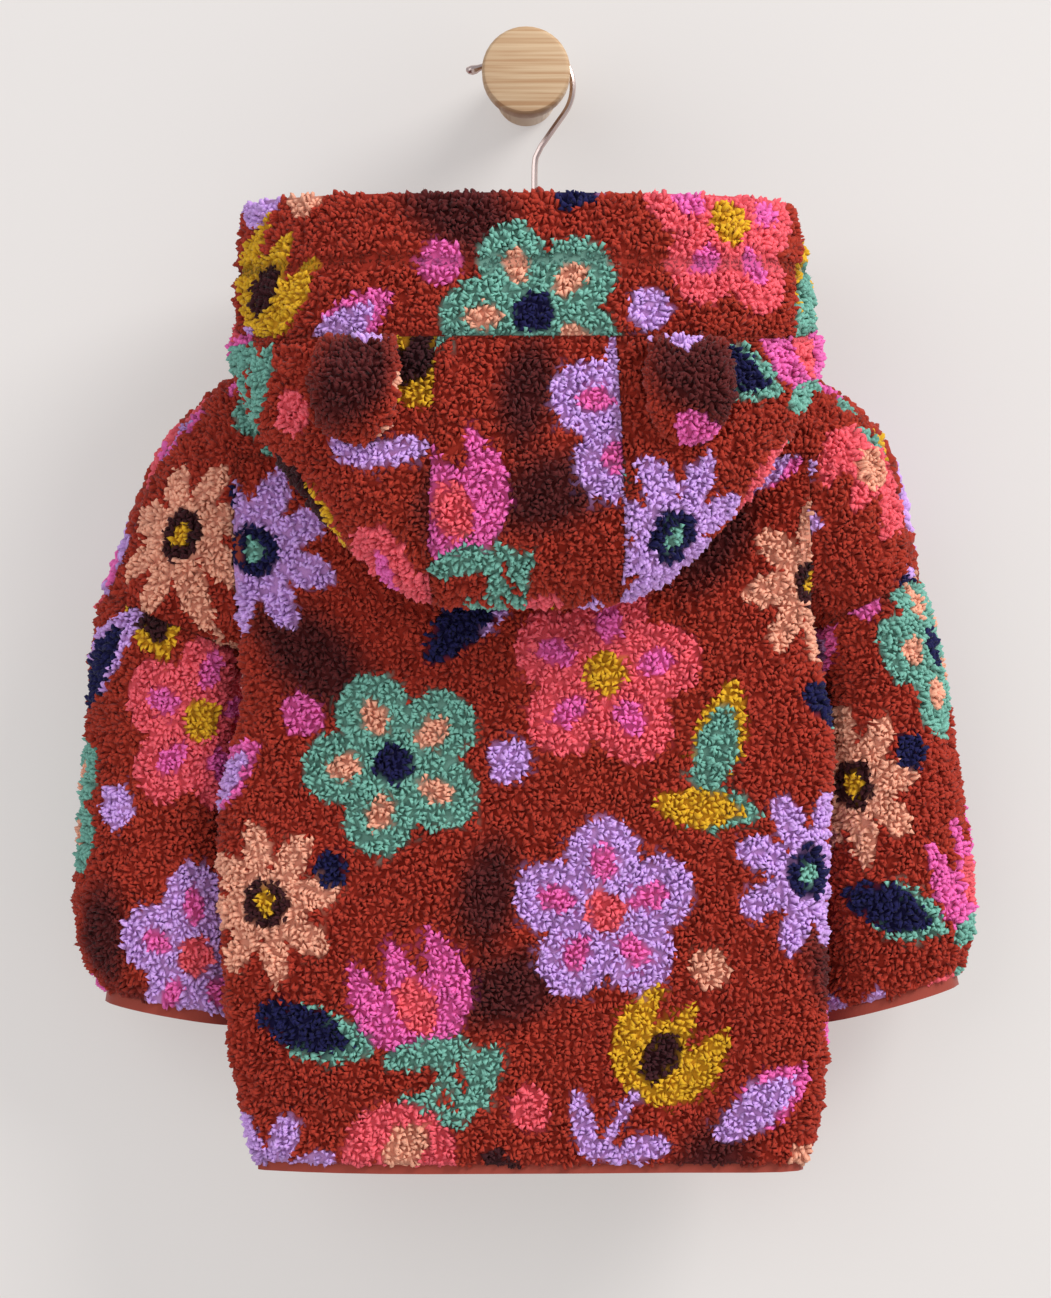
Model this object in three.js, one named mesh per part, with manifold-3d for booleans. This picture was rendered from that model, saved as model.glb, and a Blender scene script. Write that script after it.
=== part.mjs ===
// Child's hooded fleece jacket on a wire-hook hanger over a round wooden wall peg.
// Millimetres, +Z up. The origin is on the wall at the peg's axis, the wall is the plane
// y = 0, and -Y looks into the room. The jacket hangs with its back to the room and its
// zipped front to the wall, so its left side is at -X.
import * as THREE from "three";
import { mergeVertices } from "three/addons/utils/BufferGeometryUtils.js";
import Module from "manifold-3d";

const wasm = await Module();
wasm.setup();

// Driving sizes
const FLEECE = 5; // backing and curled pile of the cloth
const SEAM = 0.3; // gap between two sewn pieces
const JERSEY = 2.4; // rolled smooth binding
const BINDING_INSET = 2; // step from the fleece's outer face in to the binding
const AXIS_Y = -66; // plane of the hanger, the shoulder ridges and the side seams
const YOKE_Z = -208; // level of the yoke's lower seam
const HEM_Z = -581; // lower edge of the fleece
const BINDING_DROP = 4.6; // height of binding that shows below the fleece
const CUFF_DROP = 6.1; // the same past the cuffs
const ZIP_HALF = 8; // half the gap between the two fronts
const NECK_HALF = 72; // half the width of the neck ring
const NECK_BACK = { y: -102, z: -119 };
const NECK_SIDE_Z = -125;
const NECK_FRONT = { y: -20, z: -150 };
const SHOULDER_Z = -160; // top of the armhole
const HOLE_DEPTH = 46; // half the armhole's depth from back to front
const BACK_POWER = 2.8; // squareness of the body's back half
const FRONT_POWER = 2.2; // squareness of its front half
const WIDEST_Y = -92; // where the body is widest
const FLAT_POWER = 3; // flatness of the panels beside the armholes
const SHOULDER_POWER = 1.2; // how late the shoulder line drops
const PANEL_STEPS = 10; // columns of points from the middle of the back to a seam
const FRONT_STEPS = 9; // columns from the zip to a seam

// Lowest point of each armhole
const HOLE_BOTTOM = { left: -312, right: -300 };

// Body sections: reach to each side, and the middle of the back and of the front
const BODY = [
  { z: -208, left: 152, right: 149, back: -113, front: -18 },
  { z: -262, left: 155, right: 151, back: -114.5, front: -18 },
  { z: -305, left: 153.5, right: 153.5, back: -115, front: -18 },
  { z: -337, left: 152, right: 159, back: -115, front: -18 },
  { z: -362, left: 158.5, right: 162, back: -114.5, front: -18 },
  { z: -392, left: 163.5, right: 161.5, back: -114, front: -18 },
  { z: -420, left: 164, right: 160.5, back: -113.5, front: -18 },
  { z: -460, left: 162, right: 159.5, back: -113, front: -18 },
  { z: -523, left: 158.6, right: 159, back: -112.5, front: -18 },
  { z: -560, left: 150.5, right: 155.4, back: -112, front: -18 },
  { z: -590, left: 143, right: 146, back: -111.5, front: -18 },
];

// Levels of the body's rows of points, from the yoke to the hem
const ROW_LEVELS = [
  -208, -222, -236, -250, -264, -277, -288, -296, -300, -306, -312, -328, -346, -366, -388,
  -412, -438, -464, -490, -516, -540, -562, HEM_Z,
];

// Soft folds of the body: place across from -1 (left seam) to 1, level, reach, depth
const BODY_FOLDS = [
  { face: "back", across: -0.62, z: -520, wide: 0.16, tall: 90, depth: -3.2 },
  { face: "back", across: -0.25, z: -560, wide: 0.18, tall: 70, depth: 2.4 },
  { face: "back", across: 0.28, z: -545, wide: 0.15, tall: 80, depth: -2.6 },
  { face: "back", across: 0.6, z: -560, wide: 0.16, tall: 75, depth: 2.6 },
  { face: "back", across: -0.8, z: -345, wide: 0.14, tall: 34, depth: -2.6 },
  { face: "back", across: 0.74, z: -352, wide: 0.13, tall: 40, depth: 2.2 },
  { face: "front", across: -0.5, z: -520, wide: 0.16, tall: 85, depth: -2.8 },
  { face: "front", across: 0.45, z: -500, wide: 0.17, tall: 95, depth: -2.4 },
  { face: "front", across: 0.72, z: -560, wide: 0.15, tall: 60, depth: 2.2 },
];

// Where the folds fade out: shares from the zip and from the seam, and drop below the yoke
const FOLD_FADE = { zip: 1 / 6, seam: 1 / 8, top: 60 };

// Arm sections from the armhole to the cuff: outer and inner points, half depth, middle
const ARM = {
  left: [
    { outX: 153, outZ: -160, inX: 150, inZ: -312, deep: 46, midY: -66 },
    { outX: 176, outZ: -177, inX: 151, inZ: -311.6, deep: 46, midY: -65.5 },
    { outX: 195, outZ: -197, inX: 152, inZ: -311.2, deep: 45.5, midY: -64.5 },
    { outX: 206, outZ: -219, inX: 153, inZ: -310.8, deep: 44.5, midY: -63 },
    { outX: 217, outZ: -248, inX: 154, inZ: -310.4, deep: 43, midY: -61.5 },
    { outX: 229, outZ: -279, inX: 155.5, inZ: -310, deep: 41.5, midY: -60 },
    { outX: 234, outZ: -302, inX: 155, inZ: -326, deep: 40.5, midY: -58.5 },
    { outX: 237, outZ: -332, inX: 155, inZ: -352, deep: 39, midY: -56 },
    { outX: 240, outZ: -364, inX: 155.5, inZ: -380, deep: 37.5, midY: -54 },
    { outX: 242, outZ: -393, inX: 155.5, inZ: -408, deep: 36.5, midY: -52.5 },
    { outX: 244, outZ: -422, inX: 155, inZ: -436, deep: 36, midY: -51.5 },
    { outX: 244.5, outZ: -449, inX: 154.5, inZ: -462, deep: 35, midY: -51 },
    { outX: 241.5, outZ: -474, inX: 153, inZ: -487, deep: 32, midY: -50.5 },
    { outX: 230, outZ: -494, inX: 153, inZ: -508, deep: 26, midY: -50 },
  ],
  right: [
    { outX: 153, outZ: -160, inX: 150, inZ: -300, deep: 46, midY: -66 },
    { outX: 172, outZ: -173.5, inX: 151, inZ: -299.6, deep: 46, midY: -65.5 },
    { outX: 187, outZ: -187.5, inX: 152, inZ: -299.2, deep: 45.5, midY: -64.5 },
    { outX: 198, outZ: -206, inX: 153, inZ: -298.8, deep: 44.5, midY: -63 },
    { outX: 206, outZ: -234, inX: 154, inZ: -298.4, deep: 43, midY: -61.5 },
    { outX: 212, outZ: -270, inX: 155.5, inZ: -298, deep: 41.5, midY: -60 },
    { outX: 219, outZ: -288, inX: 155, inZ: -313, deep: 40.5, midY: -58.5 },
    { outX: 225.5, outZ: -314, inX: 155, inZ: -337, deep: 39.5, midY: -56.5 },
    { outX: 230, outZ: -342, inX: 155.5, inZ: -364, deep: 38, midY: -54.5 },
    { outX: 235, outZ: -372, inX: 155.5, inZ: -392, deep: 37, midY: -53 },
    { outX: 240, outZ: -404, inX: 155.5, inZ: -421, deep: 36, midY: -52 },
    { outX: 243.5, outZ: -438, inX: 155, inZ: -452, deep: 35, midY: -51 },
    { outX: 242.5, outZ: -466, inX: 154, inZ: -481, deep: 32, midY: -50.5 },
    { outX: 236, outZ: -485, inX: 155, inZ: -507, deep: 26, midY: -50 },
  ],
};
const DROP_SEAM = 5; // the arm section of the dropped shoulder seam

// Creases of the sleeves: arm section, angle round the arm, reach of each, depth
const SLEEVE_CREASES = {
  left: [
    { at: 7.6, angle: 60, long: 0.9, round: 50, depth: -3 },
    { at: 9.2, angle: 110, long: 0.7, round: 45, depth: -2.6 },
    { at: 10.6, angle: 50, long: 0.6, round: 40, depth: 2 },
    { at: 8.4, angle: 250, long: 0.9, round: 55, depth: -3 },
  ],
  right: [
    { at: 6.9, angle: 80, long: 0.7, round: 50, depth: -2.6 },
    { at: 9.6, angle: 70, long: 0.9, round: 50, depth: -2.6 },
    { at: 10.9, angle: 120, long: 0.6, round: 40, depth: 2 },
    { at: 8.9, angle: 270, long: 0.9, round: 55, depth: -3 },
  ],
};

// Angle of the shoulder and arm seam behind the ridge, by arm section
const RIDGE_SEAM = [8, 18, 25, 28, 28, 27];

// Hood sections for one side, from the middle of its back to its front edge. Each goes from
// the neck seam, under the pouch to its fold, up to the band's seam and on to the rim.
const HOOD = [
  { neckX: 0, neckY: -105, neckZ: -118.2, foldX: 0, foldY: -142, foldZ: -288,
    seamX: 0, seamY: -173, seamZ: -150, rimX: 0, rimY: -163, rimZ: -75.5, turn: 0, deep: 32 },
  { neckX: 24, neckY: -103, neckZ: -118.6, foldX: 48, foldY: -142, foldZ: -286.5,
    seamX: 46, seamY: -172.5, seamZ: -150, rimX: 44, rimY: -162, rimZ: -76, turn: 8, deep: 32 },
  { neckX: 42, neckY: -98, neckZ: -119.6, foldX: 78, foldY: -140, foldZ: -268,
    seamX: 84, seamY: -169, seamZ: -150, rimX: 80, rimY: -158, rimZ: -76, turn: 22, deep: 30 },
  { neckX: 55, neckY: -91, neckZ: -121, foldX: 104, foldY: -136, foldZ: -240,
    seamX: 112, seamY: -161, seamZ: -149.5, rimX: 107, rimY: -150, rimZ: -76, turn: 38, deep: 27 },
  { neckX: 65, neckY: -83, neckZ: -122.3, foldX: 125, foldY: -129, foldZ: -208,
    seamX: 133, seamY: -148, seamZ: -149, rimX: 127, rimY: -139, rimZ: -76, turn: 54, deep: 22 },
  { neckX: 72, neckY: -75, neckZ: -123.4, foldX: 139, foldY: -118, foldZ: -181,
    seamX: 146, seamY: -130, seamZ: -146, rimX: 141, rimY: -124, rimZ: -76, turn: 68, deep: 17 },
  { neckX: 75.4, neckY: -64, neckZ: -124.6, foldX: 144, foldY: -98, foldZ: -154,
    seamX: 150, seamY: -106, seamZ: -139, rimX: 148, rimY: -104, rimZ: -76.5, turn: 80, deep: 11 },
  { neckX: 73.5, neckY: -50, neckZ: -127.6, foldX: 87, foldY: -54, foldZ: -128.6,
    seamX: 101, seamY: -59, seamZ: -124.6, rimX: 149, rimY: -78, rimZ: -79, turn: 86, deep: 6 },
  { neckX: 64, neckY: -38.5, neckZ: -132.2, foldX: 67.5, foldY: -38.6, foldZ: -132,
    seamX: 71.5, seamY: -38.6, seamZ: -130.6, rimX: 138, rimY: -47, rimZ: -84, turn: 100, deep: 1 },
  { neckX: 46, neckY: -28, neckZ: -139.5, foldX: 46.6, foldY: -27.6, foldZ: -139.4,
    seamX: 47.5, seamY: -27.2, seamZ: -138.8, rimX: 108, rimY: -26, rimZ: -89, turn: 125, deep: 0 },
  { neckX: 27, neckY: -20.5, neckZ: -146, foldX: 28, foldY: -19.5, foldZ: -145.8,
    seamX: 29, seamY: -18.5, seamZ: -145.5, rimX: 72, rimY: -15, rimZ: -88, turn: 150, deep: 0 },
  { neckX: 10, neckY: -17.5, neckZ: -149.2, foldX: 10.4, foldY: -17, foldZ: -149,
    seamX: 10.8, seamY: -16.5, seamZ: -148.8, rimX: 36, rimY: -11, rimZ: -84, turn: 172, deep: 0 },
];
const HOOD_UNDER = { back: 13, side: 30 }; // reach of the turn out of the neck seam
// Share of the way from the fold to the band's seam at which the pouch still bulges, and how
// far the band bulges past its seam line near the seam and near the rim
const HOOD_BULGE = { rise: 0.42, top: 0.2, under: 0.8, low: 4, high: 3 };
const HOOD_PANEL_SEAM = 1; // the section where the crown's middle panel ends
const HOOD_SIDE_END = 8; // the section where the band's seam meets the neck seam
const RIM_DRAW = { left: 1, right: 0.95 }; // the right rim falls a little further in

// Bear ears that hang from the band's seam, each a stuffed tab
const EARS = [
  { name: "ear_left", side: "left", at: 2.02 },
  { name: "ear_right", side: "right", at: 1.9 },
];
const EAR = { wide: 47, long: 55, thick: 19, root: 40, square: 4.2, flare: 3, slim: 0.7 };
const EAR_RINGS = [0, 0.06, 0.16, 0.3, 0.46, 0.62, 0.76, 0.87, 0.95, 0.99];
const EAR_LEVEL = 9; // band of levels in which the pouch behind an ear is measured

// Zip of the front: the slider is at the top and its pull tab hangs
const ZIP = {
  tapeThick: 1.2, tapeIn: 1.6, chainHalf: 2.6, chainThick: 2.8, chainIn: 0.8, top: -163.4,
};
const SLIDER = {
  half: 4.4, nose: 3.2, tail: 3.4, top: -152.5, bottom: -163, front: 3.4, back: 3.4,
};
const BAIL = { half: 1.2, legNear: 1.2, legFar: 2.2, under: 1.1, over: 2.0, sunk: 0.4 };
const PULL = { half: 3.2, long: 26, thick: 1, bar: 0.5, windowHalf: 1.7, windowEnd: 4.6 };
const PULL_AXIS_Z = -157.6;

// Hanger, hook and peg
const HANGER = {
  half: 140, thick: 12, tall: 14, topZ: -94, under: 0.85, clear: 12, endRound: 8, endSize: 0.45,
};

// Wire hook: up its neck and out of its bend, round the loop over the peg, and to its tip
const HOOK = { wire: 3.3, loop: 24.7, loopX: 0.5, loopZ: -5.9, loopFrom: -32, loopTo: 150 };
const HOOK_NECK = [[4.6, HANGER.topZ + SEAM], [4.6, -70], [4.6, -52], [5.5, -43], [14, -29.6]];
const HOOK_TIP = [[-25.4, 4.4], [-29, 3.2], [-32.4, 3.5]];
const HOOK_STEPS = 54;
const HOOK_BULB = [1, 1, 1.15, 1.5, 1.6, 1.35, 0.6]; // swelling of the last rings at the tip
const PEG = {
  headRadius: 23.7, headFront: -86, headBack: -70, shankRadius: 16.8, round: 3, bevel: 1,
};

// Finishes
const COLOURS = {
  rust: 0x9a3d2b,
  coral: 0xe2636c,
  lilac: 0xc8a0e0,
  teal: 0x7db6a6,
  binding: 0x93372b,
  metal: 0xb9a9a2,
  wood: 0xd9b98f,
};
const RIGHT_ANGLE = Math.PI / 2;
const SIDES = { left: -1, right: 1 };
const ALONG_VIEW = { back: -1, front: 1 };

const mix = THREE.MathUtils.lerp;
const clamp = THREE.MathUtils.clamp;
const radians = THREE.MathUtils.degToRad;

function armhole(side) {
  const middle = (SHOULDER_Z + HOLE_BOTTOM[side]) / 2;
  return { middle, half: SHOULDER_Z - middle };
}

// Smooth value of a table's column at a place between its rows
function between(rows, place, column) {
  const last = rows.length - 1;
  const row = clamp(Math.floor(place), 0, last - 1);
  const part = place - row;
  const value = (index) => rows[clamp(index, 0, last)][column];
  const slopeIn = row === 0 ? value(1) - value(0) : (value(row + 1) - value(row - 1)) / 2;
  const slopeOut = row === last - 1 ? value(last) - value(row) : (value(row + 2) - value(row)) / 2;
  const square = part * part;
  const cube = square * part;
  return (
    value(row) * (2 * cube - 3 * square + 1) +
    slopeIn * (cube - 2 * square + part) +
    value(row + 1) * (3 * square - 2 * cube) +
    slopeOut * (cube - square)
  );
}

// Place of a level among the body's rows
function bodyRow(z) {
  let row = 0;
  while (row < BODY.length - 2 && z < BODY[row + 1].z) row += 1;
  return row + (BODY[row].z - z) / (BODY[row].z - BODY[row + 1].z);
}

// Point of the body's full ring at an angle from the middle of the back
function ringPoint(z, side, angle) {
  const row = bodyRow(z);
  const width = between(BODY, row, side);
  const toFront = angle > RIGHT_ANGLE;
  const power = toFront ? FRONT_POWER : BACK_POWER;
  const reach = between(BODY, row, toFront ? "front" : "back") - WIDEST_Y;
  const sine = Math.abs(Math.sin(angle));
  const turn = Math.pow(Math.max(0, 1 - Math.pow(sine, power)), 1 / power);
  return new THREE.Vector2(width * Math.sin(angle), WIDEST_Y + reach * turn);
}

// Angle of the side seam, where the ring crosses the plane of the hanger
function sideSeamAngle(z) {
  const reach = between(BODY, bodyRow(z), "front") - WIDEST_Y;
  const rest = 1 - Math.pow((AXIS_Y - WIDEST_Y) / reach, FRONT_POWER);
  return Math.PI - Math.asin(Math.pow(rest, 1 / FRONT_POWER));
}

// Share of the full ring in a section: none beside the armhole, all below it
function roundness(z, side) {
  const hole = armhole(side);
  const drop = clamp((hole.middle - z) / hole.half, 0, 1);
  return 1 - Math.sqrt(1 - drop * drop);
}

// Section of a body panel from its middle (0) to its seam (1), without folds
function sectionPoint(z, side, face, share) {
  const hole = armhole(side);
  const row = bodyRow(z);
  const width = between(BODY, row, side);
  const middleY = between(BODY, row, face);
  const rise = Math.max(0, (z - hole.middle) / hole.half);
  const edgeY = AXIS_Y + ALONG_VIEW[face] * HOLE_DEPTH * Math.sqrt(1 - rise * rise);
  const startX = face === "front" ? ZIP_HALF : 0;
  const flatX = startX + (width - startX) * Math.sin(share * RIGHT_ANGLE);
  const flatY = middleY + (edgeY - middleY) * Math.pow(flatX / width, FLAT_POWER);
  const seam = sideSeamAngle(z);
  const start = face === "front" ? Math.PI - Math.asin(ZIP_HALF / width) : 0;
  const ring = ringPoint(z, side, mix(start, seam, share));
  const round = roundness(z, side);
  return new THREE.Vector2(mix(flatX, ring.x, round), mix(flatY, ring.y, round));
}

// Height of the body's folds at a point of a panel
function bodyFold(z, side, face, share) {
  const across = SIDES[side] * share;
  return BODY_FOLDS.filter((fold) => fold.face === face).reduce((sum, fold) => {
    const away = ((across - fold.across) / fold.wide) ** 2 + ((z - fold.z) / fold.tall) ** 2;
    return sum + fold.depth * Math.exp(-away);
  }, 0);
}

// Point of a body panel at a depth below the cloth's outer face
function bodyPoint(z, side, face, share, depth) {
  const step = 0.004;
  const whole = roundness(z, side) === 1;
  const first = Math.max(0, share - step);
  const next = whole ? share + step : Math.min(1, share + step);
  const tangent = sectionPoint(z, side, face, next).sub(sectionPoint(z, side, face, first));
  if (face === "back" && share === 0) tangent.set(1, 0);
  tangent.normalize();
  const normal =
    face === "back"
      ? new THREE.Vector2(tangent.y, -tangent.x)
      : new THREE.Vector2(-tangent.y, tangent.x);
  const zipFade = face === "front" ? Math.min(1, share / FOLD_FADE.zip) : 1;
  const seamFade = Math.min(1, (1 - share) / FOLD_FADE.seam);
  const topFade = clamp((YOKE_Z - z) / FOLD_FADE.top, 0, 1);
  const lift = bodyFold(z, side, face, share) * zipFade * seamFade * topFade - depth;
  const point = sectionPoint(z, side, face, share).addScaledVector(normal, lift);
  return new THREE.Vector3(SIDES[side] * point.x, point.y, z);
}

// One order for points along a seam, so that both pieces cut its edge faces the same way
function order(point) {
  return point.x + 1.7 * point.z + 0.6 * point.y;
}

// A closed solid from grids of outer and inner points that share their edges
function clothSolid(grids) {
  const outer = [];
  const inner = [];
  const known = new Map();
  const quads = [];
  const indexOf = (outerPoint, innerPoint) => {
    const key = outerPoint.toArray().map((value) => Math.round(value * 1000)).join(" ");
    if (!known.has(key)) {
      known.set(key, outer.length);
      outer.push(outerPoint);
      inner.push(innerPoint);
    }
    return known.get(key);
  };
  grids.forEach(({ outside, inside, flip }) => {
    const ids = outside.map((line, i) => line.map((point, j) => indexOf(point, inside[i][j])));
    for (let i = 0; i + 1 < ids.length; i += 1) {
      for (let j = 0; j + 1 < ids[i].length; j += 1) {
        const quad = [ids[i][j], ids[i][j + 1], ids[i + 1][j + 1], ids[i + 1][j]];
        quads.push(flip ? quad.reverse() : quad);
      }
    }
  });
  const triangles = [];
  quads.forEach(([a, b, c, d]) => {
    const short = outer[a].distanceTo(outer[c]) <= outer[b].distanceTo(outer[d]);
    const pair = short ? [[a, b, c], [a, c, d]] : [[a, b, d], [b, c, d]];
    pair.filter((t) => new Set(t).size === 3).forEach((t) => triangles.push(t));
  });
  const edges = new Set();
  triangles.forEach(([a, b, c]) => [[a, b], [b, c], [c, a]].forEach((e) => edges.add(e.join(" "))));
  const count = outer.length;
  const faces = [];
  triangles.forEach(([a, b, c]) => faces.push([a, b, c], [count + a, count + c, count + b]));
  triangles.forEach(([a, b, c]) => {
    [[a, b], [b, c], [c, a]].forEach(([from, to]) => {
      if (edges.has([to, from].join(" "))) return;
      const fromFirst = order(outer[from]) < order(outer[to]);
      const edge = fromFirst
        ? [[from, count + to, to], [from, count + from, count + to]]
        : [[from, count + from, to], [to, count + from, count + to]];
      faces.push(...edge);
    });
  });
  return geometryOf(outer.concat(inner), faces);
}

function geometryOf(points, faces) {
  const geometry = new THREE.BufferGeometry();
  const positions = points.flatMap((point) => point.toArray());
  geometry.setAttribute("position", new THREE.Float32BufferAttribute(positions, 3));
  geometry.setIndex(faces.flat());
  const flat = geometry.toNonIndexed();
  flat.computeVertexNormals();
  return flat;
}

// A closed solid through rings of points, with flat ends unless the rings close on themselves
function ringSolid(rings, closed = false) {
  const size = rings[0].length;
  const points = rings.flat();
  const faces = [];
  const last = closed ? rings.length : rings.length - 1;
  for (let i = 0; i < last; i += 1) {
    const here = i * size;
    const next = ((i + 1) % rings.length) * size;
    for (let j = 0; j < size; j += 1) {
      const k = (j + 1) % size;
      faces.push([here + j, here + k, next + k], [here + j, next + k, next + j]);
    }
  }
  if (!closed) {
    [0, rings.length - 1].forEach((end) => {
      const middle = new THREE.Vector3();
      rings[end].forEach((point) => middle.addScaledVector(point, 1 / size));
      points.push(middle);
      for (let j = 0; j < size; j += 1) {
        const k = (j + 1) % size;
        const cap = [points.length - 1, end * size + j, end * size + k];
        faces.push(end === 0 ? [cap[0], cap[2], cap[1]] : cap);
      }
    });
  }
  return outward(geometryOf(points, faces));
}

// Turns a solid's faces round if they point inwards
function outward(geometry) {
  const place = geometry.getAttribute("position");
  const corners = [0, 1, 2].map(() => new THREE.Vector3());
  let volume = 0;
  for (let i = 0; i < place.count; i += 3) {
    corners.forEach((corner, j) => corner.fromBufferAttribute(place, i + j));
    volume += corners[0].dot(corners[1].clone().cross(corners[2]));
  }
  if (volume < 0) {
    for (let i = 0; i < place.count; i += 3) {
      corners.forEach((corner, j) => corner.fromBufferAttribute(place, i + j));
      place.setXYZ(i + 1, corners[2].x, corners[2].y, corners[2].z);
      place.setXYZ(i + 2, corners[1].x, corners[1].y, corners[1].z);
    }
    geometry.computeVertexNormals();
  }
  return geometry;
}

// A geometry as a solid that can be joined and cut, and back
function solidOf(geometry) {
  const bare = new THREE.BufferGeometry();
  bare.setAttribute("position", geometry.getAttribute("position"));
  if (geometry.index) bare.setIndex(geometry.index);
  const merged = mergeVertices(bare, 1e-4);
  return new wasm.Manifold(
    new wasm.Mesh({
      numProp: 3,
      vertProperties: merged.getAttribute("position").array,
      triVerts: new Uint32Array(merged.index.array),
    }),
  );
}

function geometryFrom(solid) {
  const mesh = solid.getMesh();
  const geometry = new THREE.BufferGeometry();
  geometry.setAttribute("position", new THREE.BufferAttribute(mesh.vertProperties, 3));
  geometry.setIndex(new THREE.BufferAttribute(mesh.triVerts, 1));
  geometry.computeVertexNormals();
  return geometry;
}

// Two overlapping closed solids as one
function joined(first, second) {
  return geometryFrom(solidOf(first).add(solidOf(second)));
}

// The largest part of a solid that a cutter leaves
function clearOf(geometry, cutter) {
  const rest = solidOf(geometry).subtract(solidOf(cutter)).decompose();
  return geometryFrom(rest.sort((a, b) => b.volume() - a.volume())[0]);
}

// Moves the points along a grid's named edges half a seam gap towards the panel
function seamed(grid, edges) {
  const shift = (line, from, to) =>
    line[from].clone().add(line[to].clone().sub(line[from]).setLength(SEAM / 2));
  const column = (j) => grid.map((line) => line[j]);
  const width = grid[0].length;
  if (edges.includes("first")) {
    grid[0] = grid[0].map((point, j) => shift(column(j), 0, 1));
  }
  if (edges.includes("last")) {
    const end = grid.length - 1;
    grid[end] = grid[end].map((point, j) => shift(column(j), end, end - 1));
  }
  if (edges.includes("start")) grid.forEach((line) => (line[0] = shift(line, 0, 1)));
  if (edges.includes("end")) {
    grid.forEach((line) => (line[width - 1] = shift(line, width - 1, width - 2)));
  }
  return grid;
}

// Grid of a surface at the cloth's outer and inner face, with its seam edges drawn in
function clothGrid(surface, lines, places, edges, flip = false) {
  const layer = (depth) =>
    seamed(lines.map((line) => places.map((place) => surface(line, place, depth))), edges);
  return { outside: layer(0), inside: layer(FLEECE), flip };
}

// Even shares from one number to another
function spread(from, to, steps) {
  return Array.from({ length: steps + 1 }, (_, i) => mix(from, to, i / steps));
}

function backPanel() {
  const places = spread(-1, 1, 2 * PANEL_STEPS);
  const surface = (z, place, depth) =>
    bodyPoint(z, place < 0 ? "left" : "right", "back", Math.abs(place), depth);
  return clothSolid([clothGrid(surface, ROW_LEVELS, places, ["first", "start", "end"])]);
}

function frontPanel(side) {
  const places = spread(0, 1, FRONT_STEPS);
  const surface = (z, place, depth) => bodyPoint(z, side, "front", place, depth);
  const grid = clothGrid(surface, ROW_LEVELS, places, ["first", "end"], side === "right");
  return clothSolid([grid]);
}

// Angle from the shoulder ridge: shares 0 to 1 reach the yoke's seam, 1 to 2 the underarm
function holeAngle(side, share, depth) {
  const hole = armhole(side);
  const cut = Math.acos((YOKE_Z - hole.middle) / (hole.half - depth));
  return share <= 1 ? share * cut : mix(cut, Math.PI, share - 1);
}

// Shares of the body's rows along the armhole
function holeShares(side) {
  const hole = armhole(side);
  const cut = holeAngle(side, 1, 0);
  return ROW_LEVELS.filter((z) => z >= HOLE_BOTTOM[side])
    .map((z) => Math.acos(clamp((z - hole.middle) / hole.half, -1, 1)))
    .map((angle) => 1 + (angle - cut) / (Math.PI - cut));
}

// Reach of the armhole's edge to the side
function holeEdgeX(side, share) {
  const angle = holeAngle(side, share, 0);
  const hole = armhole(side);
  const z = hole.middle + hole.half * Math.cos(angle);
  if (share >= 1) return sectionPoint(Math.min(z, YOKE_Z), side, "back", 1).x;
  return mix(ARM[side][0].outX, sectionPoint(YOKE_Z, side, "back", 1).x, share);
}

// Top line of the yoke: the neck ring, then the ridge out to the armhole
function yokeTop(x, face) {
  const inside = Math.min(1, x / NECK_HALF);
  const neck = face === "back" ? NECK_BACK : NECK_FRONT;
  const round = Math.sqrt(1 - inside * inside);
  const out = Math.max(0, (x - NECK_HALF) / (ARM.left[0].outX - NECK_HALF));
  const fall = (SHOULDER_Z - NECK_SIDE_Z) * Math.pow(out, SHOULDER_POWER);
  return { y: mix(AXIS_Y, neck.y, round), z: mix(NECK_SIDE_Z, neck.z, round * round) + fall };
}

// Point of the yoke over the body: columns 0 to 1 cross the neck, 1 to 2 the shoulder.
// Shares above 0 go down the back, below 0 down the front, and 0 is the piece's own neck.
function yokePoint(side, column, share, depth, piece) {
  const face = share === 0 ? piece : share > 0 ? "back" : "front";
  const size = Math.abs(share);
  const shared = (holeAngle("left", 1, depth) + holeAngle("right", 1, depth)) / 2;
  const cut = mix(shared, holeAngle(side, 1, depth), clamp(column - 1, 0, 1));
  const angle = size * cut;
  const edgeX = holeEdgeX(side, size);
  const startX = face === "front" ? ZIP_HALF : 0;
  const neckX = startX + (NECK_HALF - startX) * Math.sin(Math.min(1, column) * RIGHT_ANGLE);
  const x = column <= 1 ? neckX : mix(NECK_HALF, edgeX, column - 1);
  const ridgeX = column <= 1 ? neckX : mix(NECK_HALF, ARM[side][0].outX, column - 1);
  const top = yokeTop(ridgeX, face);
  const row = bodyRow(YOKE_Z);
  const middleY = between(BODY, row, face);
  const hole = armhole(side);
  const rise = (YOKE_Z - hole.middle) / hole.half;
  const edgeY = AXIS_Y + ALONG_VIEW[face] * HOLE_DEPTH * Math.sqrt(1 - rise * rise);
  const width = holeEdgeX(side, 1);
  const flatY = middleY + (edgeY - middleY) * Math.pow(x / width, FLAT_POWER);
  const foot = flatY - ALONG_VIEW[face] * depth;
  const topZ = top.z - depth;
  const y = top.y + ((foot - top.y) * Math.sin(angle)) / Math.sin(cut);
  const z = topZ - ((topZ - YOKE_Z) * (1 - Math.cos(angle))) / (1 - Math.cos(cut));
  return new THREE.Vector3(SIDES[side] * x, y, z);
}

// Height of the sleeve's creases at an arm section and an angle round it
function sleeveCrease(side, section, degrees) {
  return SLEEVE_CREASES[side].reduce((sum, crease) => {
    const round = ((degrees - crease.angle + 540) % 360) - 180;
    const away = ((section - crease.at) / crease.long) ** 2 + (round / crease.round) ** 2;
    return sum + crease.depth * Math.exp(-away);
  }, 0);
}

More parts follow.
